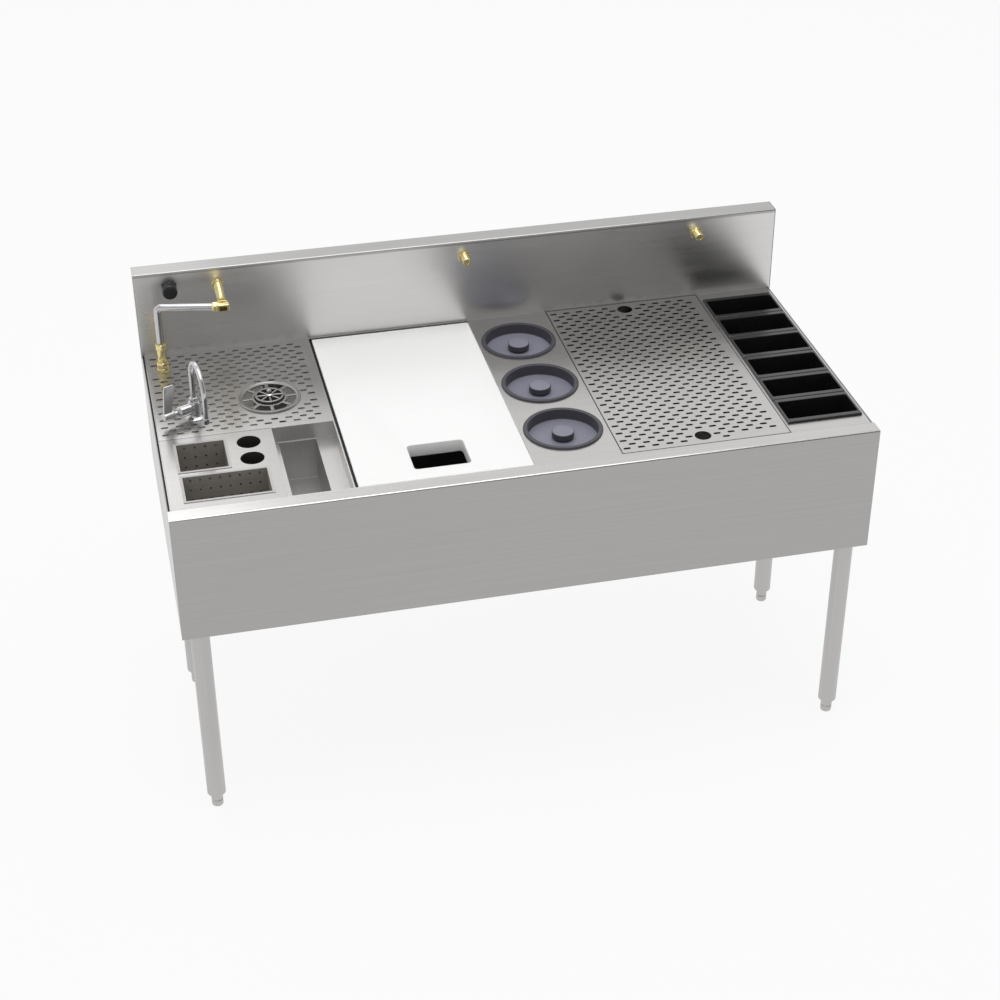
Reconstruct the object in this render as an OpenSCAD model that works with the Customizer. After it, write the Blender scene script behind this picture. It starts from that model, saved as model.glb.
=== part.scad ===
// Bar sink with ice bin: a free-standing stainless steel bar station on four legs.
// X runs to the right, Y to the back and Z up. The origin is on the floor, under the middle
// of the unit. Inside the modules, x and y count from the body's front left corner.

/* [Body] */
// Depth from the apron to the back of the splash
unit_d = 750; // [715:1:820]
// Height of the working surface above the floor
deck_z = 790; // [760:1:900]
// Height of the splash above the working surface
splash_rise = 206; // [190:1:300]
// Thickness of the splash box, from its face to its back
splash_t = 46; // [40:1:70]
// Height of the apron and of the side and back panels
body_h = 298; // [290:1:340]
// Thickness of the steel sheet
sheet_t = 1.5; // [1:0.1:2]
// Depth of the flat rim along the front
rim_d = 37; // [30:1:50]
// Width of the rolled edge at each side
side_edge = 8; // [6:0.5:12]
// Height of the turned down edges around each panel
skirt_h = 25; // [20:1:28]
// Width of the hems along the lower edges
hem_w = 15; // [8:1:16]
// Outer radius of the bent edges that show
bend_r = 4; // [2:0.5:6]
// Height of the splash's own turned down back edge
splash_return = 60; // [30:1:90]

/* [Sections] */
// Width of the tool and faucet section
station_w = 377; // [370:1:420]
// Width of the ice bin section
bin_w = 383; // [330:1:400]
// Width of the crock panel
crock_panel_w = 189; // [184:1:210]
// Width of the perforated drain section
drain_w = 378; // [300:1:600]
// Width of the bottle well section
wells_w = 181; // [176:1:195]
// Depth of the tool panel and the dump sink
tools_d = 281; // [275:1:300]
// Width of the dump sink, as a share of the tool and faucet section
sink_share = 0.366; // [0.34:0.002:0.38]

/* [Legs] */
// Diameter of the leg tubes
leg_dia = 41.3; // [38:0.1:43]
// Wall of the leg tubes
leg_wall = 1.6; // [1.2:0.1:3]
// Distance of the leg axes from the sides
leg_inset = 38.6; // [37:0.1:60]
// Distance of the front leg axes from the apron
leg_front_y = 38.7; // [37:0.1:60]
// Distance of the rear leg axes from the apron
leg_rear_y = 497; // [450:1:640]
// Length of the foot below the leg tube
foot_h = 37; // [25:1:60]
// Diameter of the foot below the leg tube
foot_dia = 26; // [20:1:32]
// Length of the foot's shank inside the tube
shank_l = 60; // [40:1:90]
// Radial running clearance of the shank in the tube
shank_gap = 0.06; // [0.02:0.01:0.1]
// Width of the rail that carries two legs
rail_w = 60; // [52:1:70]
// Height of the rail that carries two legs
rail_h = 20; // [15:1:24]
// Length of the sockets that hold the legs
socket_l = 46; // [30:1:48]
// Wall of the sockets that hold the legs
socket_wall = 3; // [2:0.5:5]
// Radial clearance of a leg in its socket
socket_gap = 0.1; // [0.05:0.05:0.3]
// Height of the rail's underside above the body's lower edge
rail_rise = 51; // [50:1:53]

/* [Tools] */
// Clear width of the short basket, as a share of the tool panel's width
short_share = 0.423; // [0.36:0.001:0.44]
// Clear depth of the short basket
short_d = 108; // [90:1:118]
// Clear width of the long basket, as a share of the tool panel's width
long_share = 0.737; // [0.5:0.001:0.79]
// Clear depth of the long basket
long_d = 92; // [80:1:98]
// Distance of the baskets from the tool panel's left end, as a share of its width
basket_left_share = 0.1422; // [0.09:0.0002:0.15]
// Distance of the long basket from the front of the tool panel
long_front = 28; // [18:1:30]
// Distance between the two baskets
basket_apart = 24; // [16:1:24]
// Depth of both baskets below the surface
basket_depth = 125; // [80:1:140]
// Wall of the baskets
basket_wall = 1.2; // [0.8:0.1:2]
// Width of the rim that carries a basket
basket_rim = 6; // [4:0.5:7]
// Clearance around a basket in its cut-out
basket_gap = 0.8; // [0.5:0.1:1.5]
// Diameter of the perforations in the baskets
perf_dia = 4.5; // [3:0.5:7]
// Least spacing of the perforations in the baskets
perf_pitch = 22; // [15:1:30]
// Distance of the first row of perforations below the surface
perf_drop = 8.7; // [6:0.1:14]
// Inner diameter of the utensil tubes
tube_dia = 51; // [40:1:51]
// Depth of the utensil tubes below the panel
tube_depth = 150; // [90:1:155]
// Distance of the utensil tubes from the tool panel's right end, as a share of its width
tube_right_share = 0.2217; // [0.21:0.0001:0.226]
// Distance of the rear utensil tube from the back of the tool panel
tube_back = 47; // [40:1:50]
// Spacing of the utensil tubes
tube_pitch = 67; // [58:1:69]
// Depth of the catch pan under the tools
catch_depth = 172; // [160:1:185]

/* [Dump sink] */
// Depth of the dump sink's ledge below the surface
ledge_depth = 38; // [35:1:60]
// Depth of the well below the ledge
well_depth = 97; // [60:1:115]
// Clear width of the well
well_w = 82; // [60:1:85]
// Clear depth of the well, front to back
well_d = 254; // [200:1:256]
// Distance of the well from the left wall of the dump sink
well_left = 13; // [10:1:25]
// Distance of the well from the back wall of the dump sink
well_back = 3; // [2:1:10]

/* [Perforated panels] */
// Length of a slot
slot_l = 16.2; // [10:0.2:18]
// Width of a slot
slot_w = 7; // [4:0.5:8]
// Spacing of the slots along a row
slot_pitch = 31.6; // [28:0.2:40]
// Spacing of the rows of slots
row_pitch = 15.7; // [13:0.1:20]
// Plain strip at the left of the slots
slots_left = 16; // [14:1:30]
// Plain strip at the right of the slots
slots_right = 28; // [18:1:40]
// Plain strip at the front and back of the slots
slots_front = 17; // [12:1:30]
// Diameter of the finger holes in the lift-out panel
finger_dia = 36; // [25:1:40]
// Distance of a finger hole's centre from the panel's front or back edge
finger_in = 33; // [28:1:45]
// Width of the plain corner at the front right of the lift-out panel
plain_w = 122; // [60:1:150]
// Depth of the plain corner at the front right of the lift-out panel
plain_d = 34; // [20:1:60]
// Depth of the pans under the perforated panels
pan_depth = 62; // [50:1:90]
// Width of the ledge that carries the lift-out panel
pan_ledge = 10; // [6:1:14]
// Clearance around the lift-out panel
panel_gap = 0.8; // [0.4:0.1:1.5]
// Height of the lift-out panel, with its turned down edges
panel_h = 18; // [12:1:22]

/* [Ice bin] */
// Thickness of the ice bin's lid
lid_t = 30; // [20:1:36]
// Gap between the lid and the bin's left wall
lid_left_gap = 6.5; // [1:0.5:9]
// Gap between the lid and the bin's right wall
lid_right_gap = 0.5; // [0.5:0.5:6]
// Gap between the lid and the bin's front wall
lid_front_gap = 1; // [0.5:0.5:3]
// Gap between the lid and the bin's back wall
lid_back_gap = 7.5; // [1:0.5:9]
// Width of the hand hole in the lid
hand_w = 122; // [90:1:150]
// Depth of the hand hole in the lid
hand_d = 97; // [50:1:110]
// Distance of the hand hole from the lid's front edge
hand_front = 40; // [25:1:80]
// Depth of the bin below the surface
bin_depth = 232; // [180:1:245]
// Thickness of the insulation
insulation_t = 22; // [15:1:30]
// Diameter of the drains' tailpieces
tail_dia = 38.1; // [32:0.1:42]
// Wall of the drains' tailpieces
tail_wall = 1.5; // [1:0.1:3]

/* [Crocks] */
// Outer diameter of a crock's rim
crock_dia = 174; // [150:1:180]
// Width of a crock's rim
crock_rim = 5; // [4:0.5:8]
// Depth of a crock below the surface
crock_depth = 175; // [100:1:200]
// Wall of a crock
crock_wall = 2; // [1.5:0.5:3]
// Clearance around a crock in its hole
crock_gap = 1; // [0.5:0.1:2]
// Spacing of the crocks
crock_pitch = 204.5; // [190:0.5:208]
// Distance of the crocks' centres to the left of their panel's middle line
crock_left = 1.5; // [0:0.5:3]
// Depth of the dish in a crock's lid
dish_depth = 25; // [12:1:35]
// Diameter of the knob on a crock's lid
knob_dia = 49; // [30:1:60]
// Height of the knob above the dish
knob_h = 17; // [10:1:25]

/* [Bottle wells] */
// Spacing of the bottle bins
well_pitch = 99.5; // [95:0.5:101]
// Gap between the rims of two bottle bins
well_gap = 0.6; // [0.4:0.1:1.5]
// Clear width of a bottle bin
bottle_w = 160; // [140:1:162]
// Clear depth of a bottle bin, front to back
bottle_d = 73; // [60:1:80]
// Depth of a bottle bin below the surface
bottle_depth = 222; // [150:1:226]
// Wall of a bottle bin
bottle_wall = 2.5; // [2:0.5:3]
// Width of a bottle bin's rim at its ends
bottle_rim = 5.5; // [4.5:0.5:6.5]
// Height of a bottle bin's rim above the surface
bottle_rim_h = 5; // [3:0.5:8]

/* [Faucet] */
// Distance of the faucet from the panel's left end
faucet_x = 86; // [80:1:110]
// Distance of the faucet from the panel's front edge
faucet_y = 86; // [70:1:110]
// Diameter of the spout's tube
spout_dia = 12; // [9:0.5:14]
// Bore of the spout's tube
spout_bore = 9; // [6:0.5:11]
// Height of the spout above the surface
spout_h = 160; // [140:1:260]
// Height of the spout's outlet above the surface
outlet_h = 42; // [35:1:90]
// Reach of the spout from the faucet's axis to its outlet
spout_reach = 108; // [80:1:130]
// Angle of the spout, turned to the right from straight ahead
spout_turn = 9; // [0:1:30]
// Diameter of the faucet's flange
flange_dia = 44; // [36:1:50]
// Thickness of the faucet's flange
flange_t = 5; // [3:0.5:8]
// Diameter of the faucet's body
faucet_dia = 28; // [24:1:32]
// Height of the faucet's body above its flange
faucet_h = 36; // [34:1:60]
// Height of the lever's axis above the surface
lever_z = 24; // [22:1:26]
// Angle of the lever's axis, turned to the front from the left
lever_side = 25; // [0:1:40]
// Diameter of the boss that carries the lever
boss_dia = 26; // [23:1:28]
// Reach of the boss from the faucet's axis
boss_l = 42; // [34:1:46]
// Length of the bare neck between the boss and the lever's hub
neck_l = 8; // [4:1:12]
// Diameter of the lever's hub
hub_dia = 19; // [16:1:22]
// Length of the lever's hub
hub_l = 27; // [20:1:30]
// Width of the lever's blade at its top
blade_w = 27; // [20:1:30]
// Height of the lever's blade above its axis
blade_h = 73; // [40:1:80]
// Thickness of the lever's blade
blade_t = 5; // [3:0.5:7]
// Radial running clearance of the faucet's spout and lever
turn_gap = 0.06; // [0.02:0.01:0.1]

/* [Glass rinser] */
// Distance of the rinser from the panel's left end
rinser_x = 254; // [240:1:270]
// Distance of the rinser from the panel's front edge
rinser_y = 129; // [110:1:150]
// Diameter of the rinser's tray
rinser_dia = 138; // [120:1:142]
// Thickness of the rinser's tray
tray_t = 3; // [2:0.5:5]
// Diameter of the cup under the rinser's tray
cup_dia = 74; // [66:1:80]
// Depth of the cup under the rinser's tray
cup_depth = 46; // [36:1:50]
// Diameter of the rinser's star
star_dia = 64; // [56:1:65]
// Thickness of the rinser's star
star_t = 4; // [3:0.5:6]
// Height of the star above the tray at rest
star_rise = 6; // [5:0.5:9]
// Height of the nozzle on the star
nozzle_h = 14; // [8:1:20]
// Diameter of the nozzle on the star
nozzle_dia = 11; // [8:1:14]
// Diameter of the star's stem
stem_dia = 12; // [10:0.5:16]
// Number of spokes in the star
spokes = 8; // [6:1:10]

/* [Supply] */
// Diameter of the chrome riser tube
riser_dia = 16; // [12:0.5:18]
// Distance of the riser from the body's left side
riser_x = 44; // [36:1:60]
// Distance of the riser from the splash
riser_out = 76; // [60:1:85]
// Height of the riser's level run above the surface
riser_z = 160; // [140:1:164]
// Distance of the brass elbow from the body's left side
elbow_x = 188; // [150:1:230]
// Distance of the brass elbow from the splash
elbow_out = 106; // [86:1:115]
// Height of the elbow's nipple above the riser's level run
elbow_step = 5; // [0:1:8]
// Radius of the riser's bend, on its centre line
riser_bend_r = 11; // [10:1:20]
// Diameter of the brass coupling
coupling_dia = 27; // [22:1:32]
// Height of the brass coupling above the surface
coupling_h = 70; // [50:1:85]
// Diameter of the brass nipple and stubs
nipple_dia = 19; // [14:0.5:21]
// Width across the flats of the brass nuts
nut_w = 27; // [24:1:32]
// Thickness of the brass nuts
nut_t = 9; // [6:1:12]
// Length of the brass stubs in front of the splash
stub_l = 32; // [20:1:45]
// Depth of the recess in the end of a brass stub
stub_recess = 2; // [1:0.5:4]
// Height of the brass stubs above the surface
stub_z = 168; // [140:1:175]
// Distance of the second stub from the body's right side
stub_right = 198; // [150:1:240]
// Distance of the first stub from the ice bin's right edge
stub_left = 6; // [0:1:40]
// Distance of the black plug from the body's left side
plug_x = 79; // [70:1:100]
// Height of the black plug above the surface
plug_z = 168; // [150:1:169]
// Diameter of the black plug's cap
plug_dia = 38; // [28:1:40]
// Length of the black plug in front of the splash
plug_l = 30; // [10:1:36]

/* [Hidden] */
$fn = 64;

// Rest clearance of a piece that lifts off, under a curved or loose seat
rest_gap = 0.3;
// Overrun of cuts
over = 1;

front_y = -unit_d / 2;
body_bot = deck_z - body_h;
top_z = deck_z + splash_rise;
splash_y = unit_d - splash_t;
mod_y = rim_d;
mod_d = splash_y - mod_y;
station_x = side_edge;
bin_x = station_x + station_w;
crock_x = bin_x + bin_w;
drain_x = crock_x + crock_panel_w;
wells_x = drain_x + drain_w;
unit_w = wells_x + wells_w + side_edge;
left_x = -unit_w / 2;
split_y = mod_y + tools_d;
sink_w = station_w * sink_share;
sink_x = bin_x - sink_w;
tools_w = sink_x - station_x;
faucet_d = splash_y - split_y;

rail_z = body_bot + rail_rise;
leg_r = leg_dia / 2;
leg_xs = [leg_inset, unit_w - leg_inset];
leg_ys = [leg_front_y, leg_rear_y];
socket_r = leg_r + socket_gap + socket_wall;
// Thickness of the plate on top of a socket
plate_t = 3;

short_w = tools_w * short_share;
long_w = tools_w * long_share;
long_x = station_x + tools_w * basket_left_share;
long_y = mod_y + long_front;
short_x = long_x - basket_wall;
short_y = long_y + long_d + basket_apart;
tube_x = sink_x - tools_w * tube_right_share;
tube_rear_y = split_y - tube_back;
tube_ys = [tube_rear_y - tube_pitch, tube_rear_y];
tube_r = tube_dia / 2;
// Wall of the utensil tubes
tube_wall = 1.5;
catch_z = deck_z - catch_depth;
catch_drain_y = long_y + long_d / 2;

ledge_z = deck_z - ledge_depth;
well_x = sink_x + sheet_t + well_left;
well_y1 = split_y - sheet_t - well_back;
well_y0 = well_y1 - well_d;
well_z = ledge_z - well_depth;

pan_z = deck_z - pan_depth;
finger_x = drain_x + drain_w / 2;
finger_ys = [mod_y + finger_in, splash_y - finger_in];

lid_z = deck_z - lid_t;
tub_z = deck_z - bin_depth;
tub_x0 = bin_x + sheet_t + insulation_t;
tub_x1 = crock_x - sheet_t - insulation_t;
tub_y0 = mod_y + sheet_t + insulation_t;
tub_y1 = splash_y - sheet_t - insulation_t;
shell_z = tub_z - insulation_t - sheet_t;
bin_mid_x = (bin_x + crock_x) / 2;
mod_mid_y = mod_y + mod_d / 2;

tail_r = tail_dia / 2;
// Width of the flange of a drain
drain_flange = 8;
// Thickness of the lock nut of a drain
lock_nut_t = 9;
// Length of a tailpiece below the pan or bowl that it drains
tail_l = 60;
// Length of the tailpiece under the catch pan and under the ice bin
catch_tail_l = 40;
// Length of a shank below the pan, above its thinner supply length
shank_out = 5;
// Step in the radius of a shank down to its supply length
shank_step = 1.5;

crock_mid_x = crock_x + crock_panel_w / 2 - crock_left;
crock_ys = [for (i = [-1, 0, 1]) mod_mid_y + i * crock_pitch];
crock_r = crock_dia / 2;
cup_r = crock_r - crock_rim;
// Thickness of a crock's rim and of its lid
crock_rim_t = 2;

wells_mid_x = wells_x + wells_w / 2;
well_count = 6;
well_ys = [for (i = [0 : well_count - 1]) mod_mid_y + (i - (well_count - 1) / 2) * well_pitch];
bottle_body_w = bottle_w + 2 * bottle_wall;
bottle_body_d = bottle_d + 2 * bottle_wall;
bottle_top_w = bottle_w + 2 * bottle_rim;
bottle_top_d = well_pitch - well_gap;
// Clearance around the bottle bins in their frame
bottle_play = 0.4;

fx = station_x + faucet_x;
fy = split_y + faucet_y;
rx = station_x + rinser_x;
ry = split_y + rinser_y;
rinser_r = rinser_dia / 2;
rinser_cup_r = cup_dia / 2;
// Width of the tray's flange that rests on the panel
tray_flange = 7;
riser_y = splash_y - riser_out;
// Length and turn of the riser's level run, from its vertical run to the elbow
riser_run = norm([elbow_x - riser_x, elbow_out - riser_out]);
riser_turn = atan2(elbow_out - riser_out, elbow_x - riser_x);
nipple_z = deck_z + riser_z + elbow_step;
// Width of the elbow's body
elbow_w = nut_w * 1.1;
// Depth of the lever's pin in the boss
pin_in = hub_dia * 0.8;
stub_xs = [crock_x - stub_left, unit_w - stub_right];

// Shapes placed from the body's front left corner
module at(x, y, z) { translate([left_x + x, front_y + y, z]) children(); }

// A block between two opposite corners
module block(a, b) { at(a[0], a[1], a[2]) cube(b - a); }

// An upright cylinder from z0 to z1
module rod(x, y, z0, z1, r) { at(x, y, z0) cylinder(r = r, h = z1 - z0); }

// A cylinder along Y, from the splash's face towards the front when y1 is below y0
module level_rod(x, y0, y1, z, r) { at(x, y0, z) rotate([90, 0, 0]) cylinder(r = r, h = y0 - y1); }

// A hexagonal nut on the splash, with its back at y0
module wall_nut(x, y0, z) {
    at(x, y0, z) rotate([90, 0, 0]) cylinder(d = nut_w / cos(30), h = nut_t, $fn = 6);
}

// A profile in (y, z), drawn along X from x0 to x1
module along_x(x0, x1) {
    translate([left_x + x0, front_y, 0])
        rotate([90, 0, 90]) linear_extrude(height = x1 - x0) children();
}

// A profile in (x, z), drawn along Y from y0 to y1
module along_y(y0, y1) {
    translate([left_x, front_y + y1, 0])
        rotate([90, 0, 0]) linear_extrude(height = y1 - y0) children();
}

// Points of a quarter circle around c, from angle a
function quarter(c, r, a) = [for (i = [0 : 6]) c + r * [cos(a + i * 15), sin(a + i * 15)]];

// A thin tray between two corners, open at the top
module tray(a, b, t) {
    difference() {
        block(a, b);
        block(a + [t, t, t], b + [-t, -t, over]);
    }
}

// A sheet panel with turned down edges, its top at the working surface
module skirted_panel(x0, y0, x1, y1, h) {
    difference() {
        block([x0, y0, deck_z - h], [x1, y1, deck_z]);
        block([x0 + sheet_t, y0 + sheet_t, deck_z - h - over],
              [x1 - sheet_t, y1 - sheet_t, deck_z - sheet_t]);
    }
}

module slot_2d() {
    square([slot_l - slot_w, slot_w], center = true);
    for (side = [-1, 1]) translate([side * (slot_l - slot_w) / 2, 0]) circle(d = slot_w, $fn = 24);
}

// Is the point p clear of every round keep-out [x, y, r]?
function clear_of(p, rounds) = len([for (k = rounds) if (norm([p[0] - k[0], p[1] - k[1]]) < k[2]) 1]) == 0;

// Staggered slots over the field from (x0, y0) to (x1, y1), leaving out the keep-outs
module slot_field(x0, y0, x1, y1, rounds, plain) {
    cols = floor((x1 - x0 - slots_left - slots_right) / (slot_pitch / 2));
    rows = floor((y1 - y0 - 2 * slots_front) / row_pitch);
    spare = (y1 - y0 - 2 * slots_front - rows * row_pitch) / 2;
    translate([left_x, front_y, deck_z - sheet_t - over]) linear_extrude(height = sheet_t + 2 * over)
        for (i = [0 : cols], j = [0 : rows])
            if ((i + j) % 2 == 0) {
                p = [x0 + slots_left + i * slot_pitch / 2, y0 + slots_front + spare + j * row_pitch];
                if (clear_of(p, rounds) && !(p[0] > x1 - plain[0] && p[1] < y0 + plain[1]))
                    translate(p) slot_2d();
            }
}

// Drain with its flange on the floor at z0, its lock nut under the sheet at z1
// and its tailpiece, of length l below z1
module drain(x, y, z0, z1, l) {
    difference() {
        union() {
            rod(x, y, z0, z0 + sheet_t, tail_r + drain_flange);
            rod(x, y, z1 - l, z0, tail_r);
            at(x, y, z1 - lock_nut_t) cylinder(r = tail_r + drain_flange, h = lock_nut_t, $fn = 6);
        }
        rod(x, y, z1 - l - over, z0 + sheet_t + over, tail_r - tail_wall);
        // Countersunk inlet
        at(x, y, z0) cylinder(r1 = tail_r - tail_wall, r2 = tail_r, h = sheet_t + over / 2);
    }
    // Cross bars that keep cutlery out
    for (turn = [0, 90]) at(x, y, z0 - sheet_t) rotate([0, 0, turn])
        translate([-tail_r + tail_wall / 2, -sheet_t / 2, 0]) cube([tail_dia - tail_wall, sheet_t, sheet_t]);
}

module front_apron() {
    color([0.66, 0.65, 0.63]) {
        along_x(0, unit_w) polygon(concat(
            [[0, body_bot], [sheet_t, body_bot], [sheet_t, deck_z - bend_r]],
            [[bend_r, deck_z - sheet_t], [rim_d, deck_z - sheet_t], [rim_d, deck_z]],
            quarter([bend_r, deck_z - bend_r], bend_r, 90)));
        // Inner lip under the rim's back edge, and the hem along the bottom
        block([sheet_t, rim_d - sheet_t, deck_z - skirt_h],
              [unit_w - sheet_t, rim_d, deck_z - sheet_t]);
        block([sheet_t, sheet_t, body_bot], [unit_w - sheet_t, hem_w, body_bot + sheet_t]);
    }
}

// Side panel for the left; the right one is its mirror image
module side_panel() {
    // Flat sheet, with the part that closes the end of the splash
    along_x(0, sheet_t) polygon(concat([
        [sheet_t, body_bot], [unit_d, body_bot], [unit_d, top_z]],
        quarter([splash_y + bend_r, top_z - bend_r], bend_r, 90),
        [[splash_y, deck_z - side_edge], [rim_d, deck_z - side_edge], [rim_d, deck_z - sheet_t]],
        [[bend_r, deck_z - sheet_t], [sheet_t, deck_z - bend_r]]));
    // Rolled edge beside the working surface, with its inner lip
    along_y(rim_d, splash_y) polygon(concat(
        [[side_edge - sheet_t, deck_z - skirt_h], [side_edge, deck_z - skirt_h], [side_edge, deck_z]],
        quarter([side_edge - sheet_t / 2, deck_z - side_edge + sheet_t / 2], side_edge - sheet_t / 2, 90),
        [[0, deck_z - side_edge], [sheet_t, deck_z - side_edge], [side_edge - sheet_t, deck_z - sheet_t]]));
    block([sheet_t, hem_w, body_bot], [hem_w, unit_d - sheet_t, body_bot + sheet_t]);
}

module side_panel_left() { color([0.84, 0.82, 0.81]) side_panel(); }

module side_panel_right() { color([0.84, 0.82, 0.81]) mirror([1, 0, 0]) side_panel(); }

module backsplash() {
    color([0.52, 0.5, 0.48]) difference() {
        along_x(sheet_t, unit_w - sheet_t) polygon(concat(
            [[splash_y, deck_z - skirt_h], [splash_y + sheet_t, deck_z - skirt_h]],
            [[splash_y + sheet_t, top_z - bend_r], [splash_y + bend_r, top_z - sheet_t]],
            [[unit_d - sheet_t, top_z - sheet_t], [unit_d - sheet_t, top_z - splash_return]],
            [[unit_d, top_z - splash_return], [unit_d, top_z]],
            quarter([splash_y + bend_r, top_z - bend_r], bend_r, 90)));
        // Holes for the supply fittings and for the plug
        for (x = stub_xs) level_rod(x, splash_y + sheet_t + over, splash_y - over, deck_z + stub_z,
                                    nipple_dia / 2 + rest_gap);
        level_rod(elbow_x, splash_y + sheet_t + over, splash_y - over, nipple_z,
                  nipple_dia / 2 + rest_gap);
        level_rod(plug_x, splash_y + sheet_t + over, splash_y - over, deck_z + plug_z,
                  plug_dia / 4 + rest_gap);
    }
}

module back_panel() {
    color([0.66, 0.65, 0.63]) {
        block([sheet_t, unit_d - sheet_t, body_bot], [unit_w - sheet_t, unit_d, top_z - splash_return]);
        block([hem_w, unit_d - hem_w, body_bot], [unit_w - hem_w, unit_d - sheet_t, body_bot + sheet_t]);
    }
}

// Rail between the apron and the back panel, with the sockets of two legs
module leg_rail(x) {
    color([0.7, 0.69, 0.68]) difference() {
        union() {
            difference() {
                block([x - rail_w / 2, sheet_t, rail_z],
                      [x + rail_w / 2, unit_d - sheet_t, rail_z + rail_h]);
                block([x - rail_w / 2 + sheet_t, -over, rail_z + sheet_t],
                      [x + rail_w / 2 - sheet_t, unit_d + over, rail_z + rail_h - sheet_t]);
            }
            for (y = leg_ys) {
                block([x - socket_r, y - socket_r, rail_z - plate_t], [x + socket_r, y + socket_r, rail_z]);
                rod(x, y, rail_z - socket_l, rail_z - plate_t, socket_r);
            }
        }
        for (y = leg_ys) rod(x, y, rail_z - socket_l - over, rail_z - plate_t, leg_r + socket_gap);
        // Way through the left rail for the riser's supply
        rod(riser_x, riser_y, rail_z - over, rail_z + rail_h + over, riser_dia * 1.25);
    }
}

module leg_rail_left() { leg_rail(leg_xs[0]); }

module leg_rail_right() { leg_rail(leg_xs[1]); }

// Leg tube, with a disc inside that stops the foot's shank
module leg(x, y) {
    color([0.7, 0.68, 0.67]) difference() {
        rod(x, y, foot_h, rail_z - plate_t, leg_r);
        rod(x, y, foot_h - over, foot_h + shank_l + rest_gap, leg_r - leg_wall);
        rod(x, y, foot_h + shank_l + rest_gap + plate_t, rail_z, leg_r - leg_wall);
    }
}

module leg_front_left() { leg(leg_xs[0], leg_ys[0]); }

module leg_front_right() { leg(leg_xs[1], leg_ys[0]); }

module leg_rear_left() { leg(leg_xs[0], leg_ys[1]); }

module leg_rear_right() { leg(leg_xs[1], leg_ys[1]); }

// Adjustable foot: a shank in the tube, a stem and a rounded sole with a flat middle
module foot(x, y) {
    r = foot_dia / 2;
    shank_r = leg_r - leg_wall - shank_gap;
    color([0.6, 0.59, 0.58]) at(x, y, 0) {
        rotate_extrude() polygon(concat(
            [[0, foot_h + shank_l], [0, 0]],
            [for (i = [0 : 6]) [r * 0.6 + r * 0.4 * sin(i * 15), r * 0.4 * (1 - cos(i * 15))]],
            [[r, foot_h], [shank_r, foot_h], [shank_r, foot_h + shank_l]]));
    }
}

module foot_front_left() { foot(leg_xs[0], leg_ys[0]); }

module foot_front_right() { foot(leg_xs[1], leg_ys[0]); }

module foot_rear_left() { foot(leg_xs[0], leg_ys[1]); }

module foot_rear_right() { foot(leg_xs[1], leg_ys[1]); }

// Cut-out for a basket of w by d at (x, y)
module basket_cut(x, y, w, d) {
    g = basket_wall + basket_gap;
    block([x - g, y - g, deck_z - sheet_t - over], [x + w + g, y + d + g, deck_z + over]);
}

module tool_panel() {
    color([0.86, 0.85, 0.83]) difference() {
        skirted_panel(station_x, mod_y, sink_x, split_y, skirt_h);
        basket_cut(short_x, short_y, short_w, short_d);
        basket_cut(long_x, long_y, long_w, long_d);
        for (y = tube_ys) rod(tube_x, y, deck_z - sheet_t - over, deck_z + over, tube_r);
    }
}

module catch_pan() {
    color([0.7, 0.69, 0.68]) difference() {
        tray([station_x, mod_y, catch_z], [sink_x, split_y, deck_z - skirt_h], sheet_t);
        rod(tube_x, catch_drain_y, catch_z - over, catch_z + sheet_t + over, tail_r);
    }
}

module utensil_tubes() {
    color([0.3, 0.29, 0.28]) for (y = tube_ys) difference() {
        rod(tube_x, y, deck_z - sheet_t - tube_depth, deck_z - sheet_t, tube_r + tube_wall);
        rod(tube_x, y, deck_z - sheet_t - tube_depth + tube_wall, deck_z, tube_r);
        // Drip hole in the bottom
        rod(tube_x, y, deck_z - tube_depth - 2 * sheet_t - over, deck_z - tube_depth + sheet_t, perf_dia);
    }
}

// Perforated basket of w by d inside, hung by its rim
module basket(x, y, w, d) {
    t = basket_wall;
    z0 = deck_z - basket_depth;
    cols = floor(w / perf_pitch);
    rows = floor(d / perf_pitch);
    tiers = floor(basket_depth / perf_pitch);
    col_step = w / (cols + 0.5);
    row_step = d / (rows + 0.5);
    tier_step = basket_depth / (tiers + 0.3);
    rim_x = x - basket_rim;
    rim_y = y - basket_rim;
    color([0.36, 0.34, 0.31]) difference() {
        union() {
            block([x - t, y - t, z0], [x + w + t, y + d + t, deck_z]);
            block([rim_x, rim_y, deck_z], [x + w + basket_rim, y + d + basket_rim, deck_z + t]);
        }
        block([x, y, z0 + t], [x + w, y + d, deck_z + t + over]);
        for (i = [0 : cols - 1]) {
            px = x + w / 2 + (i - (cols - 1) / 2) * col_step;
            for (k = [0 : tiers - 1]) {
                pz = deck_z - perf_drop - k * tier_step;
                level_rod(px, y + d + t + over, y - t - over, pz, perf_dia / 2);
            }
            for (j = [0 : rows - 1]) {
                py = y + d / 2 + (j - (rows - 1) / 2) * row_step;
                rod(px, py, z0 - over, z0 + t + over, perf_dia / 2);
            }
        }
    }
}

module basket_short() { basket(short_x, short_y, short_w, short_d); }

module basket_long() { basket(long_x, long_y, long_w, long_d); }

module dump_sink() {
    t = sheet_t;
    drain_y = (well_y0 + well_y1) / 2;
    color([0.72, 0.7, 0.68]) difference() {
        union() {
            block([sink_x, mod_y, ledge_z - t], [bin_x, split_y, deck_z]);
            block([well_x - t, well_y0 - t, well_z - t], [well_x + well_w + t, well_y1 + t, ledge_z]);
        }
        block([sink_x + t, mod_y + t, ledge_z], [bin_x - t, split_y - t, deck_z + over]);
        block([well_x, well_y0, well_z], [well_x + well_w, well_y1, deck_z]);
        rod(well_x + well_w / 2, drain_y, well_z - t - over, well_z + over, tail_r);
    }
}

module sink_drain() {
    color([0.75, 0.74, 0.73])
        drain(well_x + well_w / 2, (well_y0 + well_y1) / 2, well_z, well_z - sheet_t, tail_l);
}

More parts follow.
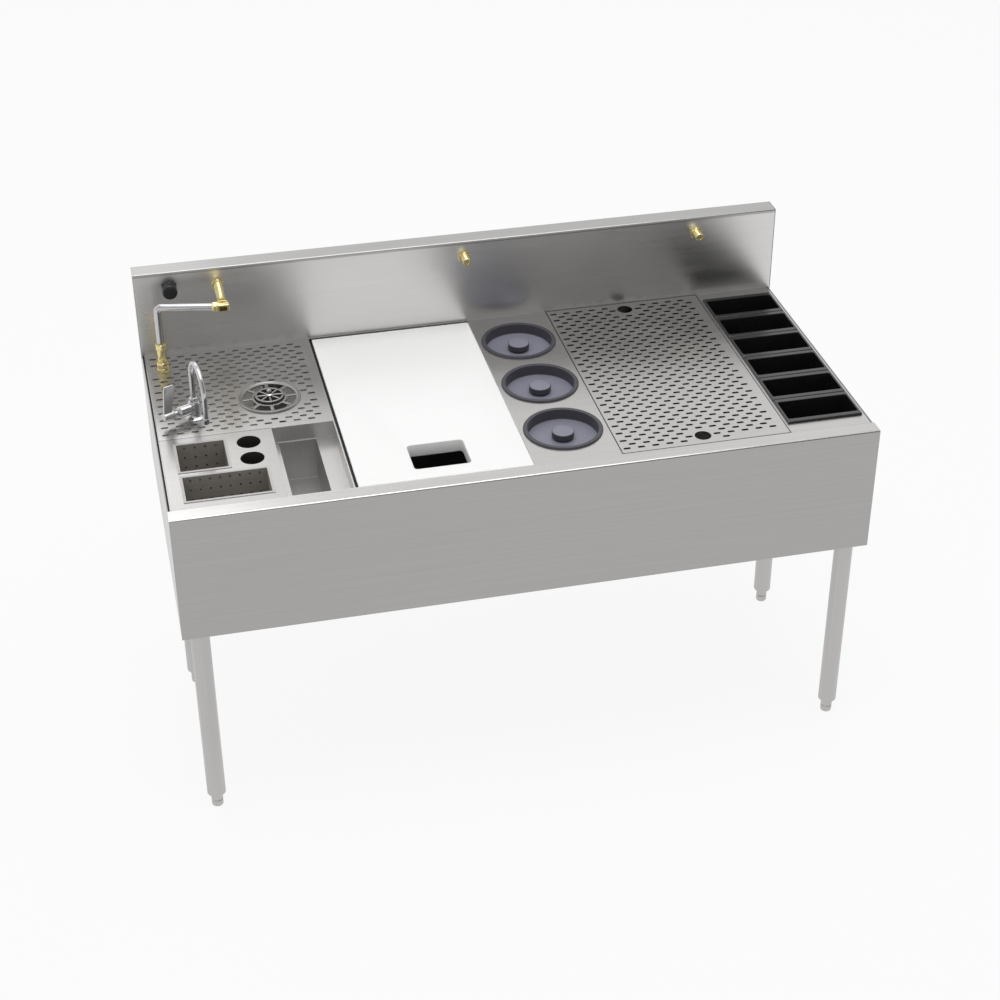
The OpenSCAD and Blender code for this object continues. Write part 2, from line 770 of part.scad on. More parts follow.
module faucet_panel() {
    color([0.62, 0.6, 0.58]) difference() {
        skirted_panel(station_x, split_y, bin_x, splash_y, skirt_h);
        rod(rx, ry, deck_z - sheet_t - over, deck_z + over, rinser_r - tray_flange);
        rod(fx, fy, deck_z - sheet_t - over, deck_z + over, faucet_dia / 2);
        rod(riser_x, riser_y, deck_z - sheet_t - over, deck_z + over, riser_dia / 2 + rest_gap);
        slot_field(station_x, split_y, bin_x, splash_y,
                   [[rx, ry, rinser_r + slot_l * 0.65], [fx, fy, flange_dia / 2 + slot_l * 0.55],
                    [riser_x, riser_y, coupling_dia / 2 + slot_l * 0.6]], [0, 0]);
    }
}

module faucet_pan() {
    x = bin_x - station_w / 4;
    y = splash_y - faucet_d / 4;
    color([0.6, 0.59, 0.57]) difference() {
        tray([station_x, split_y, pan_z], [bin_x, splash_y, deck_z - skirt_h], sheet_t);
        rod(fx, fy, pan_z - over, pan_z + sheet_t + over, faucet_dia / 4 + rest_gap);
        rod(rx, ry, pan_z - over, pan_z + sheet_t + over, stem_dia + rest_gap);
        rod(riser_x, riser_y, pan_z - over, pan_z + sheet_t + over, riser_dia / 2 + rest_gap);
        rod(x, y, pan_z - over, pan_z + sheet_t + over, tail_r);
    }
}

// Shapes placed along the lever's axis, which runs out from the faucet along -X here
module on_lever() { at(fx, fy, deck_z + lever_z) rotate([0, 0, lever_side]) children(); }

// Faucet body: a flange on the panel, the column that the spout turns in and the shank below
module faucet_body() {
    r = faucet_dia / 2;
    z1 = deck_z + flange_t + faucet_h;
    seat_r = spout_dia / 2 + turn_gap;
    color([0.8, 0.8, 0.8]) difference() {
        union() {
            rod(fx, fy, deck_z, deck_z + flange_t, flange_dia / 2);
            rod(fx, fy, deck_z - sheet_t, z1, r);
            rod(fx, fy, pan_z - shank_out, deck_z - sheet_t, r / 2);
            rod(fx, fy, pan_z - tail_l, pan_z - shank_out, r / 2 - shank_step);
            // Boss that carries the lever
            on_lever() rotate([0, -90, 0]) cylinder(d = boss_dia, h = boss_l);
        }
        rod(fx, fy, deck_z + lever_z + hub_dia / 4, z1 + over, seat_r);
        rod(fx, fy, pan_z - tail_l - over, deck_z + lever_z, r / 4);
        on_lever() translate([-boss_l - over, 0, 0]) rotate([0, 90, 0])
            cylinder(r = hub_dia / 4 + turn_gap, h = pin_in + rest_gap + over);
    }
}

// Swivelling spout, a riser and a half circle, with a short nozzle over the baskets
module faucet_spout() {
    bend = spout_reach / 2;
    r = spout_dia / 2;
    z0 = deck_z + lever_z + hub_dia / 4 + rest_gap;
    z1 = deck_z + spout_h - bend - r;
    collar_z = deck_z + flange_t + faucet_h + rest_gap;
    color([0.85, 0.85, 0.85]) at(fx, fy, 0) rotate([0, 0, spout_turn]) difference() {
        union() {
            translate([0, 0, z0]) cylinder(r = r, h = z1 - z0);
            translate([0, 0, collar_z]) cylinder(r = r + bend / 14, h = r * 1.5);
            translate([0, -bend, z1]) rotate([90, 0, 90]) rotate_extrude(angle = 180)
                translate([bend, 0]) circle(r = r);
            translate([0, -spout_reach, deck_z + outlet_h]) cylinder(r = r, h = z1 - deck_z - outlet_h);
            translate([0, -spout_reach, deck_z + outlet_h]) cylinder(r = r * 1.2, h = r * 2);
        }
        translate([0, -spout_reach, deck_z + outlet_h - over]) cylinder(d = spout_bore, h = r * 2);
    }
}

// Lever: a hub on its pin, with an upright blade that widens to its top
module faucet_lever() {
    end_x = -boss_l - neck_l - hub_l;
    foot_w = blade_w * 0.7;
    lean = blade_h * 0.1;
    color([0.85, 0.85, 0.85]) on_lever() {
        translate([end_x, 0, 0]) rotate([0, 90, 0]) cylinder(d = hub_dia, h = hub_l);
        translate([end_x + hub_l / 2, 0, 0]) rotate([0, 90, 0])
            cylinder(d = hub_dia / 2, h = hub_l / 2 + neck_l + pin_in);
        rotate([90, 0, 0]) linear_extrude(height = blade_t, center = true) polygon([
            [end_x, 0], [end_x + foot_w, 0], [end_x + lean + blade_w, blade_h], [end_x + lean, blade_h]]);
    }
}

// Rinser tray: a dished ring with a rim bead, drain windows and the seat of the star
module rinser_tray() {
    inner = rinser_cup_r - tray_flange / 2;
    outer = rinser_r - tray_flange;
    window = (outer - rinser_cup_r - tray_flange) / 2;
    color([0.62, 0.61, 0.6]) difference() {
        union() {
            rod(rx, ry, deck_z, deck_z + tray_t, rinser_r);
            rod(rx, ry, deck_z + tray_t, deck_z + tray_t * 1.5, rinser_r - tray_t / 2);
        }
        rod(rx, ry, deck_z + tray_t, deck_z + 2 * tray_t, rinser_r - tray_t);
        rod(rx, ry, deck_z - over, deck_z + tray_t + over, inner);
        for (i = [0 : spokes - 1]) at(rx, ry, deck_z - over) rotate([0, 0, (i + 0.5) * 360 / spokes])
            linear_extrude(height = tray_t + 2 * over)
                translate([rinser_cup_r + tray_flange / 2, -window]) square([2 * window, 2 * window]);
    }
}

// Cup under the tray, with the guide of the star's stem and the supply below it
module rinser_cup() {
    z0 = deck_z - cup_depth;
    guide_r = stem_dia * 0.8;
    color([0.55, 0.54, 0.53]) difference() {
        union() {
            rod(rx, ry, z0, deck_z, rinser_cup_r);
            rod(rx, ry, pan_z - shank_out, z0, guide_r);
            rod(rx, ry, pan_z - tail_l, pan_z - shank_out, guide_r - shank_step);
        }
        rod(rx, ry, z0 + sheet_t, deck_z + over, rinser_cup_r - sheet_t);
        rod(rx, ry, z0 - tail_l / 2, z0 + sheet_t + over, stem_dia / 2 + turn_gap);
        rod(rx, ry, pan_z - tail_l - over, z0, stem_dia / 4);
    }
}

// Star that a glass pushes down: a ring, spokes and a spray nozzle on a stem
module rinser_star() {
    z0 = deck_z + tray_t + star_rise - star_t;
    r = star_dia / 2;
    ring = r / 7;
    color([0.75, 0.74, 0.73]) {
        difference() {
            rod(rx, ry, z0, z0 + star_t, r);
            rod(rx, ry, z0 - over, z0 + star_t + over, r - ring);
        }
        for (i = [0 : spokes - 1]) at(rx, ry, z0) rotate([0, 0, i * 360 / spokes])
            translate([0, -ring / 2, 0]) cube([r - ring / 2, ring, star_t]);
        rod(rx, ry, deck_z - cup_depth - tail_l / 4, z0 + star_t, stem_dia / 2);
        rod(rx, ry, z0, z0 + star_t * 1.4, stem_dia * 0.75);
        rod(rx, ry, z0 + star_t, z0 + star_t + nozzle_h, nozzle_dia / 2);
    }
}

// Steel tub with the ledge that carries the lid
module ice_bin_liner() {
    t = sheet_t;
    color([0.74, 0.73, 0.72]) difference() {
        union() {
            block([bin_x, mod_y, lid_z - t], [crock_x, splash_y, deck_z]);
            block([tub_x0, tub_y0, tub_z - t], [tub_x1, tub_y1, lid_z]);
        }
        block([bin_x + t, mod_y + t, lid_z], [crock_x - t, splash_y - t, deck_z + over]);
        block([tub_x0 + t, tub_y0 + t, tub_z], [tub_x1 - t, tub_y1 - t, deck_z]);
        rod(bin_mid_x, mod_mid_y, tub_z - t - over, tub_z + over, tail_r);
    }
}

module bin_insulation() {
    t = sheet_t;
    color([0.9, 0.86, 0.7]) difference() {
        block([bin_x + t, mod_y + t, shell_z + t], [crock_x - t, splash_y - t, lid_z - t]);
        block([tub_x0, tub_y0, tub_z - t], [tub_x1, tub_y1, lid_z]);
        rod(bin_mid_x, mod_mid_y, shell_z, tub_z, tail_r);
    }
}

module bin_shell() {
    color([0.66, 0.65, 0.63]) difference() {
        tray([bin_x, mod_y, shell_z], [crock_x, splash_y, lid_z - sheet_t], sheet_t);
        rod(bin_mid_x, mod_mid_y, shell_z - over, tub_z, tail_r);
    }
}

module bin_drain() {
    color([0.75, 0.74, 0.73]) drain(bin_mid_x, mod_mid_y, tub_z, shell_z, catch_tail_l);
}

// White lid, flush with the working surface, with its hand hole
module ice_bin_lid() {
    x0 = bin_x + sheet_t + lid_left_gap;
    x1 = crock_x - sheet_t - lid_right_gap;
    y0 = mod_y + sheet_t + lid_front_gap;
    y1 = splash_y - sheet_t - lid_back_gap;
    mid = (x0 + x1) / 2;
    color([0.97, 0.97, 0.97]) difference() {
        block([x0, y0, lid_z], [x1, y1, deck_z]);
        block([mid - hand_w / 2, y0 + hand_front, lid_z - over],
              [mid + hand_w / 2, y0 + hand_front + hand_d, deck_z + over]);
    }
}

module crock_panel() {
    color([0.72, 0.7, 0.69]) difference() {
        skirted_panel(crock_x, mod_y, drain_x, splash_y, skirt_h);
        for (y = crock_ys) rod(crock_mid_x, y, deck_z - sheet_t - over, deck_z + over, cup_r + crock_gap);
    }
}

// Round crock hung by its rim
module crock(y) {
    z0 = deck_z - crock_depth;
    color([0.5, 0.5, 0.54]) difference() {
        union() {
            rod(crock_mid_x, y, z0, deck_z, cup_r);
            rod(crock_mid_x, y, deck_z, deck_z + crock_rim_t, crock_r);
        }
        rod(crock_mid_x, y, z0 + crock_wall, deck_z + crock_rim_t + over, cup_r - crock_wall);
    }
}

module crock_front() { crock(crock_ys[0]); }

module crock_middle() { crock(crock_ys[1]); }

module crock_rear() { crock(crock_ys[2]); }

// Dished lid that rests on the crock's rim, with a flat round knob
module crock_lid(y) {
    z1 = deck_z + 2 * crock_rim_t;
    floor_z = z1 - dish_depth - crock_wall;
    dish_r = cup_r - crock_wall - crock_gap;
    knob_r = knob_dia / 2;
    color([0.47, 0.47, 0.52]) {
        difference() {
            union() {
                rod(crock_mid_x, y, floor_z, z1, dish_r);
                rod(crock_mid_x, y, deck_z + crock_rim_t, z1, crock_r - crock_rim / 4);
            }
            rod(crock_mid_x, y, floor_z + crock_wall, z1 + over, dish_r - crock_wall);
        }
        rod(crock_mid_x, y, floor_z + crock_wall / 2, floor_z + knob_h - knob_h / 4, knob_r * 0.8);
        rod(crock_mid_x, y, floor_z + knob_h * 0.3, floor_z + crock_wall + knob_h, knob_r);
    }
}

module crock_lid_front() { crock_lid(crock_ys[0]); }

module crock_lid_middle() { crock_lid(crock_ys[1]); }

module crock_lid_rear() { crock_lid(crock_ys[2]); }

// Pan under the lift-out panel, with the ledge that the panel stands on
module drainboard_pan() {
    t = sheet_t;
    seat_z = deck_z - panel_h;
    color([0.66, 0.64, 0.62]) difference() {
        block([drain_x, mod_y, pan_z], [wells_x, splash_y, deck_z]);
        block([drain_x + t, mod_y + t, seat_z], [wells_x - t, splash_y - t, deck_z + over]);
        block([drain_x + t + pan_ledge, mod_y + t + pan_ledge, pan_z + t],
              [wells_x - t - pan_ledge, splash_y - t - pan_ledge, deck_z]);
        block([drain_x + t, mod_y + t, pan_z + t], [wells_x - t, splash_y - t, seat_z - t]);
        rod(finger_x, mod_mid_y, pan_z - over, pan_z + t + over, tail_r);
    }
}

// Lift-out perforated panel with two finger holes
module drain_panel() {
    g = sheet_t + panel_gap;
    keep = finger_dia / 2 + slot_l * 0.75;
    color([0.7, 0.68, 0.66]) difference() {
        skirted_panel(drain_x + g, mod_y + g, wells_x - g, splash_y - g, panel_h);
        for (y = finger_ys) rod(finger_x, y, deck_z - sheet_t - over, deck_z + over, finger_dia / 2);
        slot_field(drain_x, mod_y, wells_x, splash_y,
                   [for (y = finger_ys) [finger_x, y, keep]], [plain_w, plain_d]);
    }
}

module pan_drains() {
    color([0.75, 0.74, 0.73]) {
        drain(finger_x, mod_mid_y, pan_z + sheet_t, pan_z, tail_l);
        drain(tube_x, catch_drain_y, catch_z + sheet_t, catch_z, catch_tail_l);
        drain(bin_x - station_w / 4, splash_y - faucet_d / 4, pan_z + sheet_t, pan_z, tail_l);
    }
}

// Frame around the bottle bins
module well_frame() {
    w = bottle_body_w / 2 + bottle_play;
    y0 = well_ys[0] - bottle_body_d / 2 - bottle_play;
    y1 = well_ys[well_count - 1] + bottle_body_d / 2 + bottle_play;
    color([0.8, 0.79, 0.77]) difference() {
        skirted_panel(wells_x, mod_y, wells_x + wells_w, splash_y, skirt_h);
        block([wells_mid_x - w, y0, deck_z - sheet_t - over], [wells_mid_x + w, y1, deck_z + over]);
    }
}

// Black bin for bottles, hung by its rim
module bottle_bin(i) {
    y = well_ys[i];
    z0 = deck_z - bottle_depth;
    z1 = deck_z + bottle_rim_h;
    // Width of the bevel along the rim's outer edges
    bevel = bottle_rim_h * 0.5;
    color([0.06, 0.06, 0.06]) difference() {
        union() {
            block([wells_mid_x - bottle_body_w / 2, y - bottle_body_d / 2, z0],
                  [wells_mid_x + bottle_body_w / 2, y + bottle_body_d / 2, deck_z]);
            along_x(wells_mid_x - bottle_top_w / 2, wells_mid_x + bottle_top_w / 2) polygon([
                [y - bottle_top_d / 2, deck_z], [y + bottle_top_d / 2, deck_z],
                [y + bottle_top_d / 2, z1 - bevel], [y + bottle_top_d / 2 - bevel, z1],
                [y - bottle_top_d / 2 + bevel, z1], [y - bottle_top_d / 2, z1 - bevel]]);
        }
        block([wells_mid_x - bottle_w / 2, y - bottle_d / 2, z0 + bottle_wall],
              [wells_mid_x + bottle_w / 2, y + bottle_d / 2, z1 + over]);
    }
}

module bottle_bin_1() { bottle_bin(0); }

module bottle_bin_2() { bottle_bin(1); }

module bottle_bin_3() { bottle_bin(2); }

module bottle_bin_4() { bottle_bin(3); }

module bottle_bin_5() { bottle_bin(4); }

module bottle_bin_6() { bottle_bin(5); }

// Shapes placed along the riser's level run, which goes off along +X here
module on_riser() { at(riser_x, riser_y, deck_z + riser_z) rotate([0, 0, -riser_turn]) children(); }

// Brass nipple out of the splash, with its nut and the elbow at its end
module riser_elbow() {
    y = splash_y - elbow_out;
    back = splash_y + sheet_t + nut_t * 1.5;
    body_d = elbow_w * 0.72;
    body_t = elbow_w * 0.62;
    z = deck_z + riser_z;
    color([0.82, 0.7, 0.38]) {
        level_rod(elbow_x, back, y + body_d / 2 - over, nipple_z, nipple_dia / 2);
        wall_nut(elbow_x, splash_y, nipple_z);
        level_rod(elbow_x, y + body_d / 2 + nut_t * 1.5, y + body_d / 2 - over, nipple_z, nipple_dia * 0.56);
        block([elbow_x - elbow_w / 2, y - body_d / 2, z - body_t / 2],
              [elbow_x + elbow_w / 2, y + body_d / 2, z + body_t / 2]);
        // Compression nut that grips the chrome tube
        on_riser() translate([riser_run - elbow_w / 2 - nut_t, 0, 0]) rotate([0, 90, 0])
            cylinder(d = nut_w * 0.8, h = nut_t + elbow_w / 4, $fn = 6);
    }
}

// Chrome riser: a level run to the left, a bend and a straight drop
module riser_tube() {
    r = riser_dia / 2;
    color([0.85, 0.85, 0.86]) on_riser() {
        translate([riser_bend_r, 0, 0]) rotate([0, 90, 0])
            cylinder(r = r, h = riser_run - elbow_w / 2 - nut_t - riser_bend_r);
        translate([riser_bend_r, 0, -riser_bend_r]) rotate([90, 0, 0]) rotate([0, 0, 90])
            rotate_extrude(angle = 90) translate([riser_bend_r, 0]) circle(r = r);
        translate([0, 0, coupling_h - riser_z]) cylinder(r = r, h = riser_z - riser_bend_r - coupling_h);
    }
}

// Brass coupling on the panel, with its supply pipe below
module riser_coupling() {
    r = coupling_dia / 2;
    h = coupling_h;
    color([0.82, 0.7, 0.38]) {
        rod(riser_x, riser_y, pan_z - shank_out, deck_z, riser_dia / 2);
        rod(riser_x, riser_y, pan_z - tail_l, pan_z - shank_out, riser_dia / 2 - shank_step);
        rod(riser_x, riser_y, deck_z, deck_z + h, r * 0.8);
        at(riser_x, riser_y, deck_z) cylinder(d = nut_w, h = nut_t, $fn = 6);
        at(riser_x, riser_y, deck_z + nut_t * 1.3) cylinder(r = r * 1.1, h = nut_t, $fn = 6);
        rod(riser_x, riser_y, deck_z + h / 2, deck_z + h - nut_t * 1.4, r);
        at(riser_x, riser_y, deck_z + h - nut_t * 1.2) cylinder(r = r * 1.1, h = nut_t, $fn = 6);
    }
}

module supply_stubs() {
    z = deck_z + stub_z;
    color([0.82, 0.7, 0.38]) for (x = stub_xs) difference() {
        union() {
            level_rod(x, splash_y + sheet_t + nut_t * 1.5, splash_y - stub_l, z, nipple_dia / 2);
            wall_nut(x, splash_y, z);
            wall_nut(x, splash_y + sheet_t + nut_t, z);
        }
        level_rod(x, splash_y - stub_l + stub_recess, splash_y - stub_l - over, z, nipple_dia / 3);
    }
}

module wall_plug() {
    z = deck_z + plug_z;
    color([0.08, 0.08, 0.08]) {
        level_rod(plug_x, splash_y, splash_y - plug_l / 4, z, plug_dia / 2);
        level_rod(plug_x, splash_y - plug_l / 4, splash_y - plug_l, z, plug_dia * 0.45);
        level_rod(plug_x, splash_y + sheet_t + plug_l / 4, splash_y, z, plug_dia / 4);
    }
}

// Nuts under the faucet and the coupling, and behind the splash on the elbow's nipple
module fasteners() {
    z = deck_z - sheet_t - nut_t;
    color([0.7, 0.69, 0.68]) {
        difference() {
            at(fx, fy, z) cylinder(d = faucet_dia * 1.2, h = nut_t, $fn = 6);
            rod(fx, fy, z - over, deck_z, faucet_dia / 4);
        }
        difference() {
            at(riser_x, riser_y, z) cylinder(d = nut_w, h = nut_t, $fn = 6);
            rod(riser_x, riser_y, z - over, deck_z, riser_dia / 2);
        }
        difference() {
            wall_nut(elbow_x, splash_y + sheet_t + nut_t, nipple_z);
            level_rod(elbow_x, splash_y + splash_t, splash_y, nipple_z, nipple_dia / 2);
        }
    }
}

front_apron();
side_panel_left();
side_panel_right();
backsplash();
back_panel();
leg_rail_left();
leg_rail_right();
leg_front_left();
leg_front_right();
leg_rear_left();
leg_rear_right();
foot_front_left();
foot_front_right();
foot_rear_left();
foot_rear_right();
tool_panel();
catch_pan();
utensil_tubes();
basket_short();
basket_long();
dump_sink();
sink_drain();
faucet_panel();
faucet_pan();
faucet_body();
faucet_spout();
faucet_lever();
rinser_tray();
rinser_cup();
rinser_star();
ice_bin_liner();
bin_insulation();
bin_shell();
bin_drain();
ice_bin_lid();
crock_panel();
crock_front();
crock_middle();
crock_rear();
crock_lid_front();
crock_lid_middle();
crock_lid_rear();
drainboard_pan();
drain_panel();
pan_drains();
well_frame();
bottle_bin_1();
bottle_bin_2();
bottle_bin_3();
bottle_bin_4();
bottle_bin_5();
bottle_bin_6();
riser_elbow();
riser_tube();
riser_coupling();
supply_stubs();
wall_plug();
fasteners();
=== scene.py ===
"""Looks of a free-standing bar sink with an ice bin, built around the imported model.

Every length is in metres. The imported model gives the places, and each class below makes the
pieces of one sub-assembly and dresses them in their finish.
"""

from __future__ import annotations

import logging
import math
from collections.abc import Callable, Sequence
from dataclasses import dataclass, field
from enum import Enum

import bmesh
import bpy
from mathutils import Euler, Matrix, Vector

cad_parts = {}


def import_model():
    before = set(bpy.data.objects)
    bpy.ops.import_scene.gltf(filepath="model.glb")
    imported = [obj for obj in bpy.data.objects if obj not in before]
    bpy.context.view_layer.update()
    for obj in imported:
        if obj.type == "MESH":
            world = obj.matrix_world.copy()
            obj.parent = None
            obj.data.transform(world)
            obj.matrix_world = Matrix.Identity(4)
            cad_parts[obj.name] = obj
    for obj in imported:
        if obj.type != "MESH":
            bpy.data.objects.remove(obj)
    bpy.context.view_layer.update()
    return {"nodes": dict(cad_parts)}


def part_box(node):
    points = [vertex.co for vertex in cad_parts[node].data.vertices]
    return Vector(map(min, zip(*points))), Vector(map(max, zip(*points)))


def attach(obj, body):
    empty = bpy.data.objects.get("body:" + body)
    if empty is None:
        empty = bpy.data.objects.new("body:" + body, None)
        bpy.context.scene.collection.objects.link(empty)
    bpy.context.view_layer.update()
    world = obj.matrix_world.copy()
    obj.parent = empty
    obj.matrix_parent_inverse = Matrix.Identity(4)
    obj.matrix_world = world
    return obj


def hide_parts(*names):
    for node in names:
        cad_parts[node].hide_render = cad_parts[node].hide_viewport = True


log = logging.getLogger("bar_sink")

MM = 0.001
TIP = 1e-6  # a turned profile's point closer to the axis than this is a single point
MERGE = 1e-7  # points of one piece that are closer than this are made one
SHARP = math.radians(33)  # edges of the built pieces are shaded flat from this angle on
BEVELLED = math.radians(40)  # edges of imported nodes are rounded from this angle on
NUT_DROP = 5 * MM  # how far below the faucet pan its pipes and shanks step in
WORK_RIM_Z = 0.7875  # the apron and the right side are rim from this height on
RETURN_Z = 0.988  # the splash is its top return from this height on
WHITE = (1, 1, 1, 1)
UP = Vector((0, 0, 1))
RIGHT = Vector((1, 0, 0))
FRONT = Vector((0, -1, 0))
Colour = tuple[float, float, float]
Outline = list[tuple[float, float]]
Loop = list[Vector]


# Shader wiring


class Wire:
    """One shader socket, with arithmetic that adds the nodes it stands for."""

    def __init__(self, board: Board, socket: bpy.types.NodeSocket) -> None:
        """Keeps the socket and the board that it is on."""
        self.board = board
        self.socket = socket

    def _maths(self, operation: str, first: Wire | float, second: Wire | float) -> Wire:
        """The result of one Math node."""
        return self.board.node("ShaderNodeMath", {"operation": operation}, {0: first, 1: second})

    def __add__(self, other: Wire | float) -> Wire:
        """This plus other."""
        return self._maths("ADD", self, other)

    def __sub__(self, other: Wire | float) -> Wire:
        """This less other."""
        return self._maths("SUBTRACT", self, other)

    def __rsub__(self, other: float) -> Wire:
        """A number less this."""
        return self._maths("SUBTRACT", other, self)

    def __mul__(self, other: Wire | float) -> Wire:
        """This times other."""
        return self._maths("MULTIPLY", self, other)

    def most(self, other: Wire | float) -> Wire:
        """The larger of this and other."""
        return self._maths("MAXIMUM", self, other)

    def ramp(self, low: float, high: float) -> Wire:
        """Takes this from 0 at low to 1 at high, and holds it there."""
        values = {0: self, 1: low, 2: high, 3: 0.0, 4: 1.0}
        return self.board.node("ShaderNodeMapRange", {"clamp": True}, values)


class Board:
    """The node tree of one material or of the world."""

    def __init__(self, tree: bpy.types.NodeTree) -> None:
        """Keeps the tree to build in, and empties it."""
        self.tree = tree
        tree.nodes.clear()

    def node(
        self,
        kind: str,
        settings: dict[str, object] | None = None,
        inputs: dict[int | str, object] | None = None,
        output: int | str = 0,
    ) -> Wire:
        """Adds one node.

        Args:
            kind: The node's type.
            settings: The node's own settings, set before its sockets.
            inputs: Values or wires by socket name or number.
            output: The output to hand back.

        Returns:
            The chosen output.
        """
        made = self.tree.nodes.new(kind)
        for name, value in (settings or {}).items():
            setattr(made, name, value)
        for name, value in (inputs or {}).items():
            if isinstance(value, Wire):
                self.tree.links.new(value.socket, made.inputs[name])
            else:
                made.inputs[name].default_value = value
        return Wire(self, made.outputs[output])

    def place(self) -> Wire:
        """The point on the surface, in metres."""
        return self.node("ShaderNodeTexCoord", output="Object")

    def noise(self, scale: Sequence[float], detail: float = 2.0, rough: float = 0.5) -> Wire:
        """Adds a noise that is stretched along the axes.

        Args:
            scale: Waves to the metre along X, Y and Z.
            detail: Octaves of finer noise.
            rough: Strength of each finer octave.

        Returns:
            The noise, around one half.
        """
        stretched = self.node(
            "ShaderNodeVectorMath", {"operation": "MULTIPLY"}, {0: self.place(), 1: scale}
        )
        values = {"Vector": stretched, "Scale": 1.0, "Detail": detail, "Roughness": rough}
        return self.node("ShaderNodeTexNoise", {}, values)

    def mix(self, share: Wire, first: Colour | Wire, second: Colour | Wire) -> Wire:
        """Mixes two colours, with share as the second one's part."""
        a, b = [(*c, 1) if isinstance(c, tuple) else c for c in (first, second)]
        return self.node("ShaderNodeMix", {"data_type": "RGBA"}, {0: share, 6: a, 7: b}, 2)

    def bump(self, height: Wire, depth: float) -> Wire:
        """Turns a height, which is depth metres at 1, into a surface normal."""
        values = {"Height": height, "Distance": depth, "Strength": 1.0}
        return self.node("ShaderNodeBump", {}, values)

    def surface(self, inputs: dict[int | str, object]) -> None:
        """Ends the tree in a Principled shader with these sockets."""
        shader = self.node("ShaderNodeBsdfPrincipled", {}, inputs)
        self.node_end("ShaderNodeOutputMaterial", shader)

    def node_end(self, kind: str, shader: Wire) -> None:
        """Adds the output node of this kind, which shows the shader."""
        end = self.tree.nodes.new(kind)
        self.tree.links.new(shader.socket, end.inputs["Surface"])


def shade(colour: Colour, factor: float) -> Colour:
    """A colour with each channel multiplied by factor."""
    return tuple(min(1.0, c * factor) for c in colour)


# Finishes


class Grain(Enum):
    """The direction that a sheet or tube was brushed in."""

    X = 0
    Y = 1
    Z = 2

    def scale(self, along: float, across: float) -> tuple[float, float, float]:
        """Waves to the metre on the three axes, from those along and across the brushing."""
        return tuple(along if axis == self.value else across for axis in range(3))


@dataclass(frozen=True)
class Finish:
    """A finish that makes its material once and hands it out."""

    name: str
    slot: str

    def material(self) -> bpy.types.Material:
        """The finish's material, made on first use."""
        title = "finish_" + self.name
        found = bpy.data.materials.get(title)
        if found is None:
            found = bpy.data.materials.new(title)
            found.use_nodes = True
            self.wire(Board(found.node_tree))
        return found

    def wire(self, board: Board) -> None:
        """Builds the material's nodes on its board."""
        raise NotImplementedError


@dataclass(frozen=True)
class BrushedSteel(Finish):
    """Stainless steel sheet with a satin grain, faint handling marks and polish clouds."""

    colour: Colour
    grain: Grain = Grain.X
    roughness: float = 0.24
    streaks: float = 0.08
    depth: float = 0.006 * MM
    metal: float = 1.0

    def tint(self, board: Board, tone: Wire) -> Wire:
        """The steel's colour, a little duller and clearer with the grain's tone."""
        dull, clear = shade(self.colour, 1 - self.streaks), shade(self.colour, 1 + self.streaks)
        return board.mix(tone, dull, clear)

    def wire(self, board: Board) -> None:
        """Brushed lines over polish clouds, with a few wiped smears.

        Args:
            board: The material's node tree.
        """
        hair = board.noise(self.grain.scale(along=9, across=1500), detail=2)
        line = board.noise(self.grain.scale(along=2.2, across=210), detail=3)
        cloud = board.noise((5, 5, 5), detail=3)
        smear = board.noise(self.grain.scale(along=3, across=26), detail=4, rough=0.6)
        wiped = smear.ramp(0.52, 0.72)
        tone = hair * 0.35 + line * 0.45 + cloud * 0.2
        board.surface(
            {
                "Base Color": self.tint(board, tone.ramp(0.25, 0.75)),
                "Metallic": self.metal,
                "Roughness": (hair - 0.5) * 0.10
                + (cloud - 0.5) * 0.10
                + wiped * 0.04
                + self.roughness,
                "Normal": board.bump(hair * 0.6 + line * 0.4, self.depth),
            }
        )


@dataclass(frozen=True)
class RimmedSteel(BrushedSteel):
    """Brushed steel with a second tint for all that lies above a height, such as a rim: painted
    light and shade on one steel.
    """

    rim_z: float = 0.79
    rim_colour: Colour = (0.5, 0.5, 0.5)

    def tint(self, board: Board, tone: Wire) -> Wire:
        """The sheet's tint below the rim, and above it the rim's own tint, which paints light and
        shade on one steel.

        Args:
            board: The material's node tree.
            tone: The grain's tone, from 0 to 1.

        Returns:
            The colour.
        """
        height = board.node("ShaderNodeSeparateXYZ", {}, {0: board.place()}, 2)
        rim = height.ramp(self.rim_z, self.rim_z + 0.4 * MM)
        rim_tint = board.mix(tone, shade(self.rim_colour, 0.9), shade(self.rim_colour, 1.1))
        return board.mix(rim, super().tint(board, tone), rim_tint)


@dataclass(frozen=True)
class PolishedMetal(Finish):
    """Plated or turned metal: nearly a mirror, with wipe marks and small pits."""

    colour: Colour
    roughness: float
    tarnish: Colour
    marks: float = 0.08

    def wire(self, board: Board) -> None:
        """Wipe marks in the polish, and a tarnish that gathers in spots.

        Args:
            board: The material's node tree.
        """
        wipe = board.noise((60, 60, 240), detail=3, rough=0.6)
        spots = board.noise((140, 140, 140), detail=4, rough=0.65).ramp(0.52, 0.74)
        turned = board.noise((900, 900, 1800), detail=1)
        board.surface(
            {
                "Base Color": board.mix(spots * 0.6, self.colour, self.tarnish),
                "Metallic": 1.0,
                "Roughness": (wipe - 0.5) * self.marks + spots * self.marks + self.roughness,
                "Normal": board.bump(turned * 0.5 + wipe * 0.5, 0.004 * MM),
            }
        )


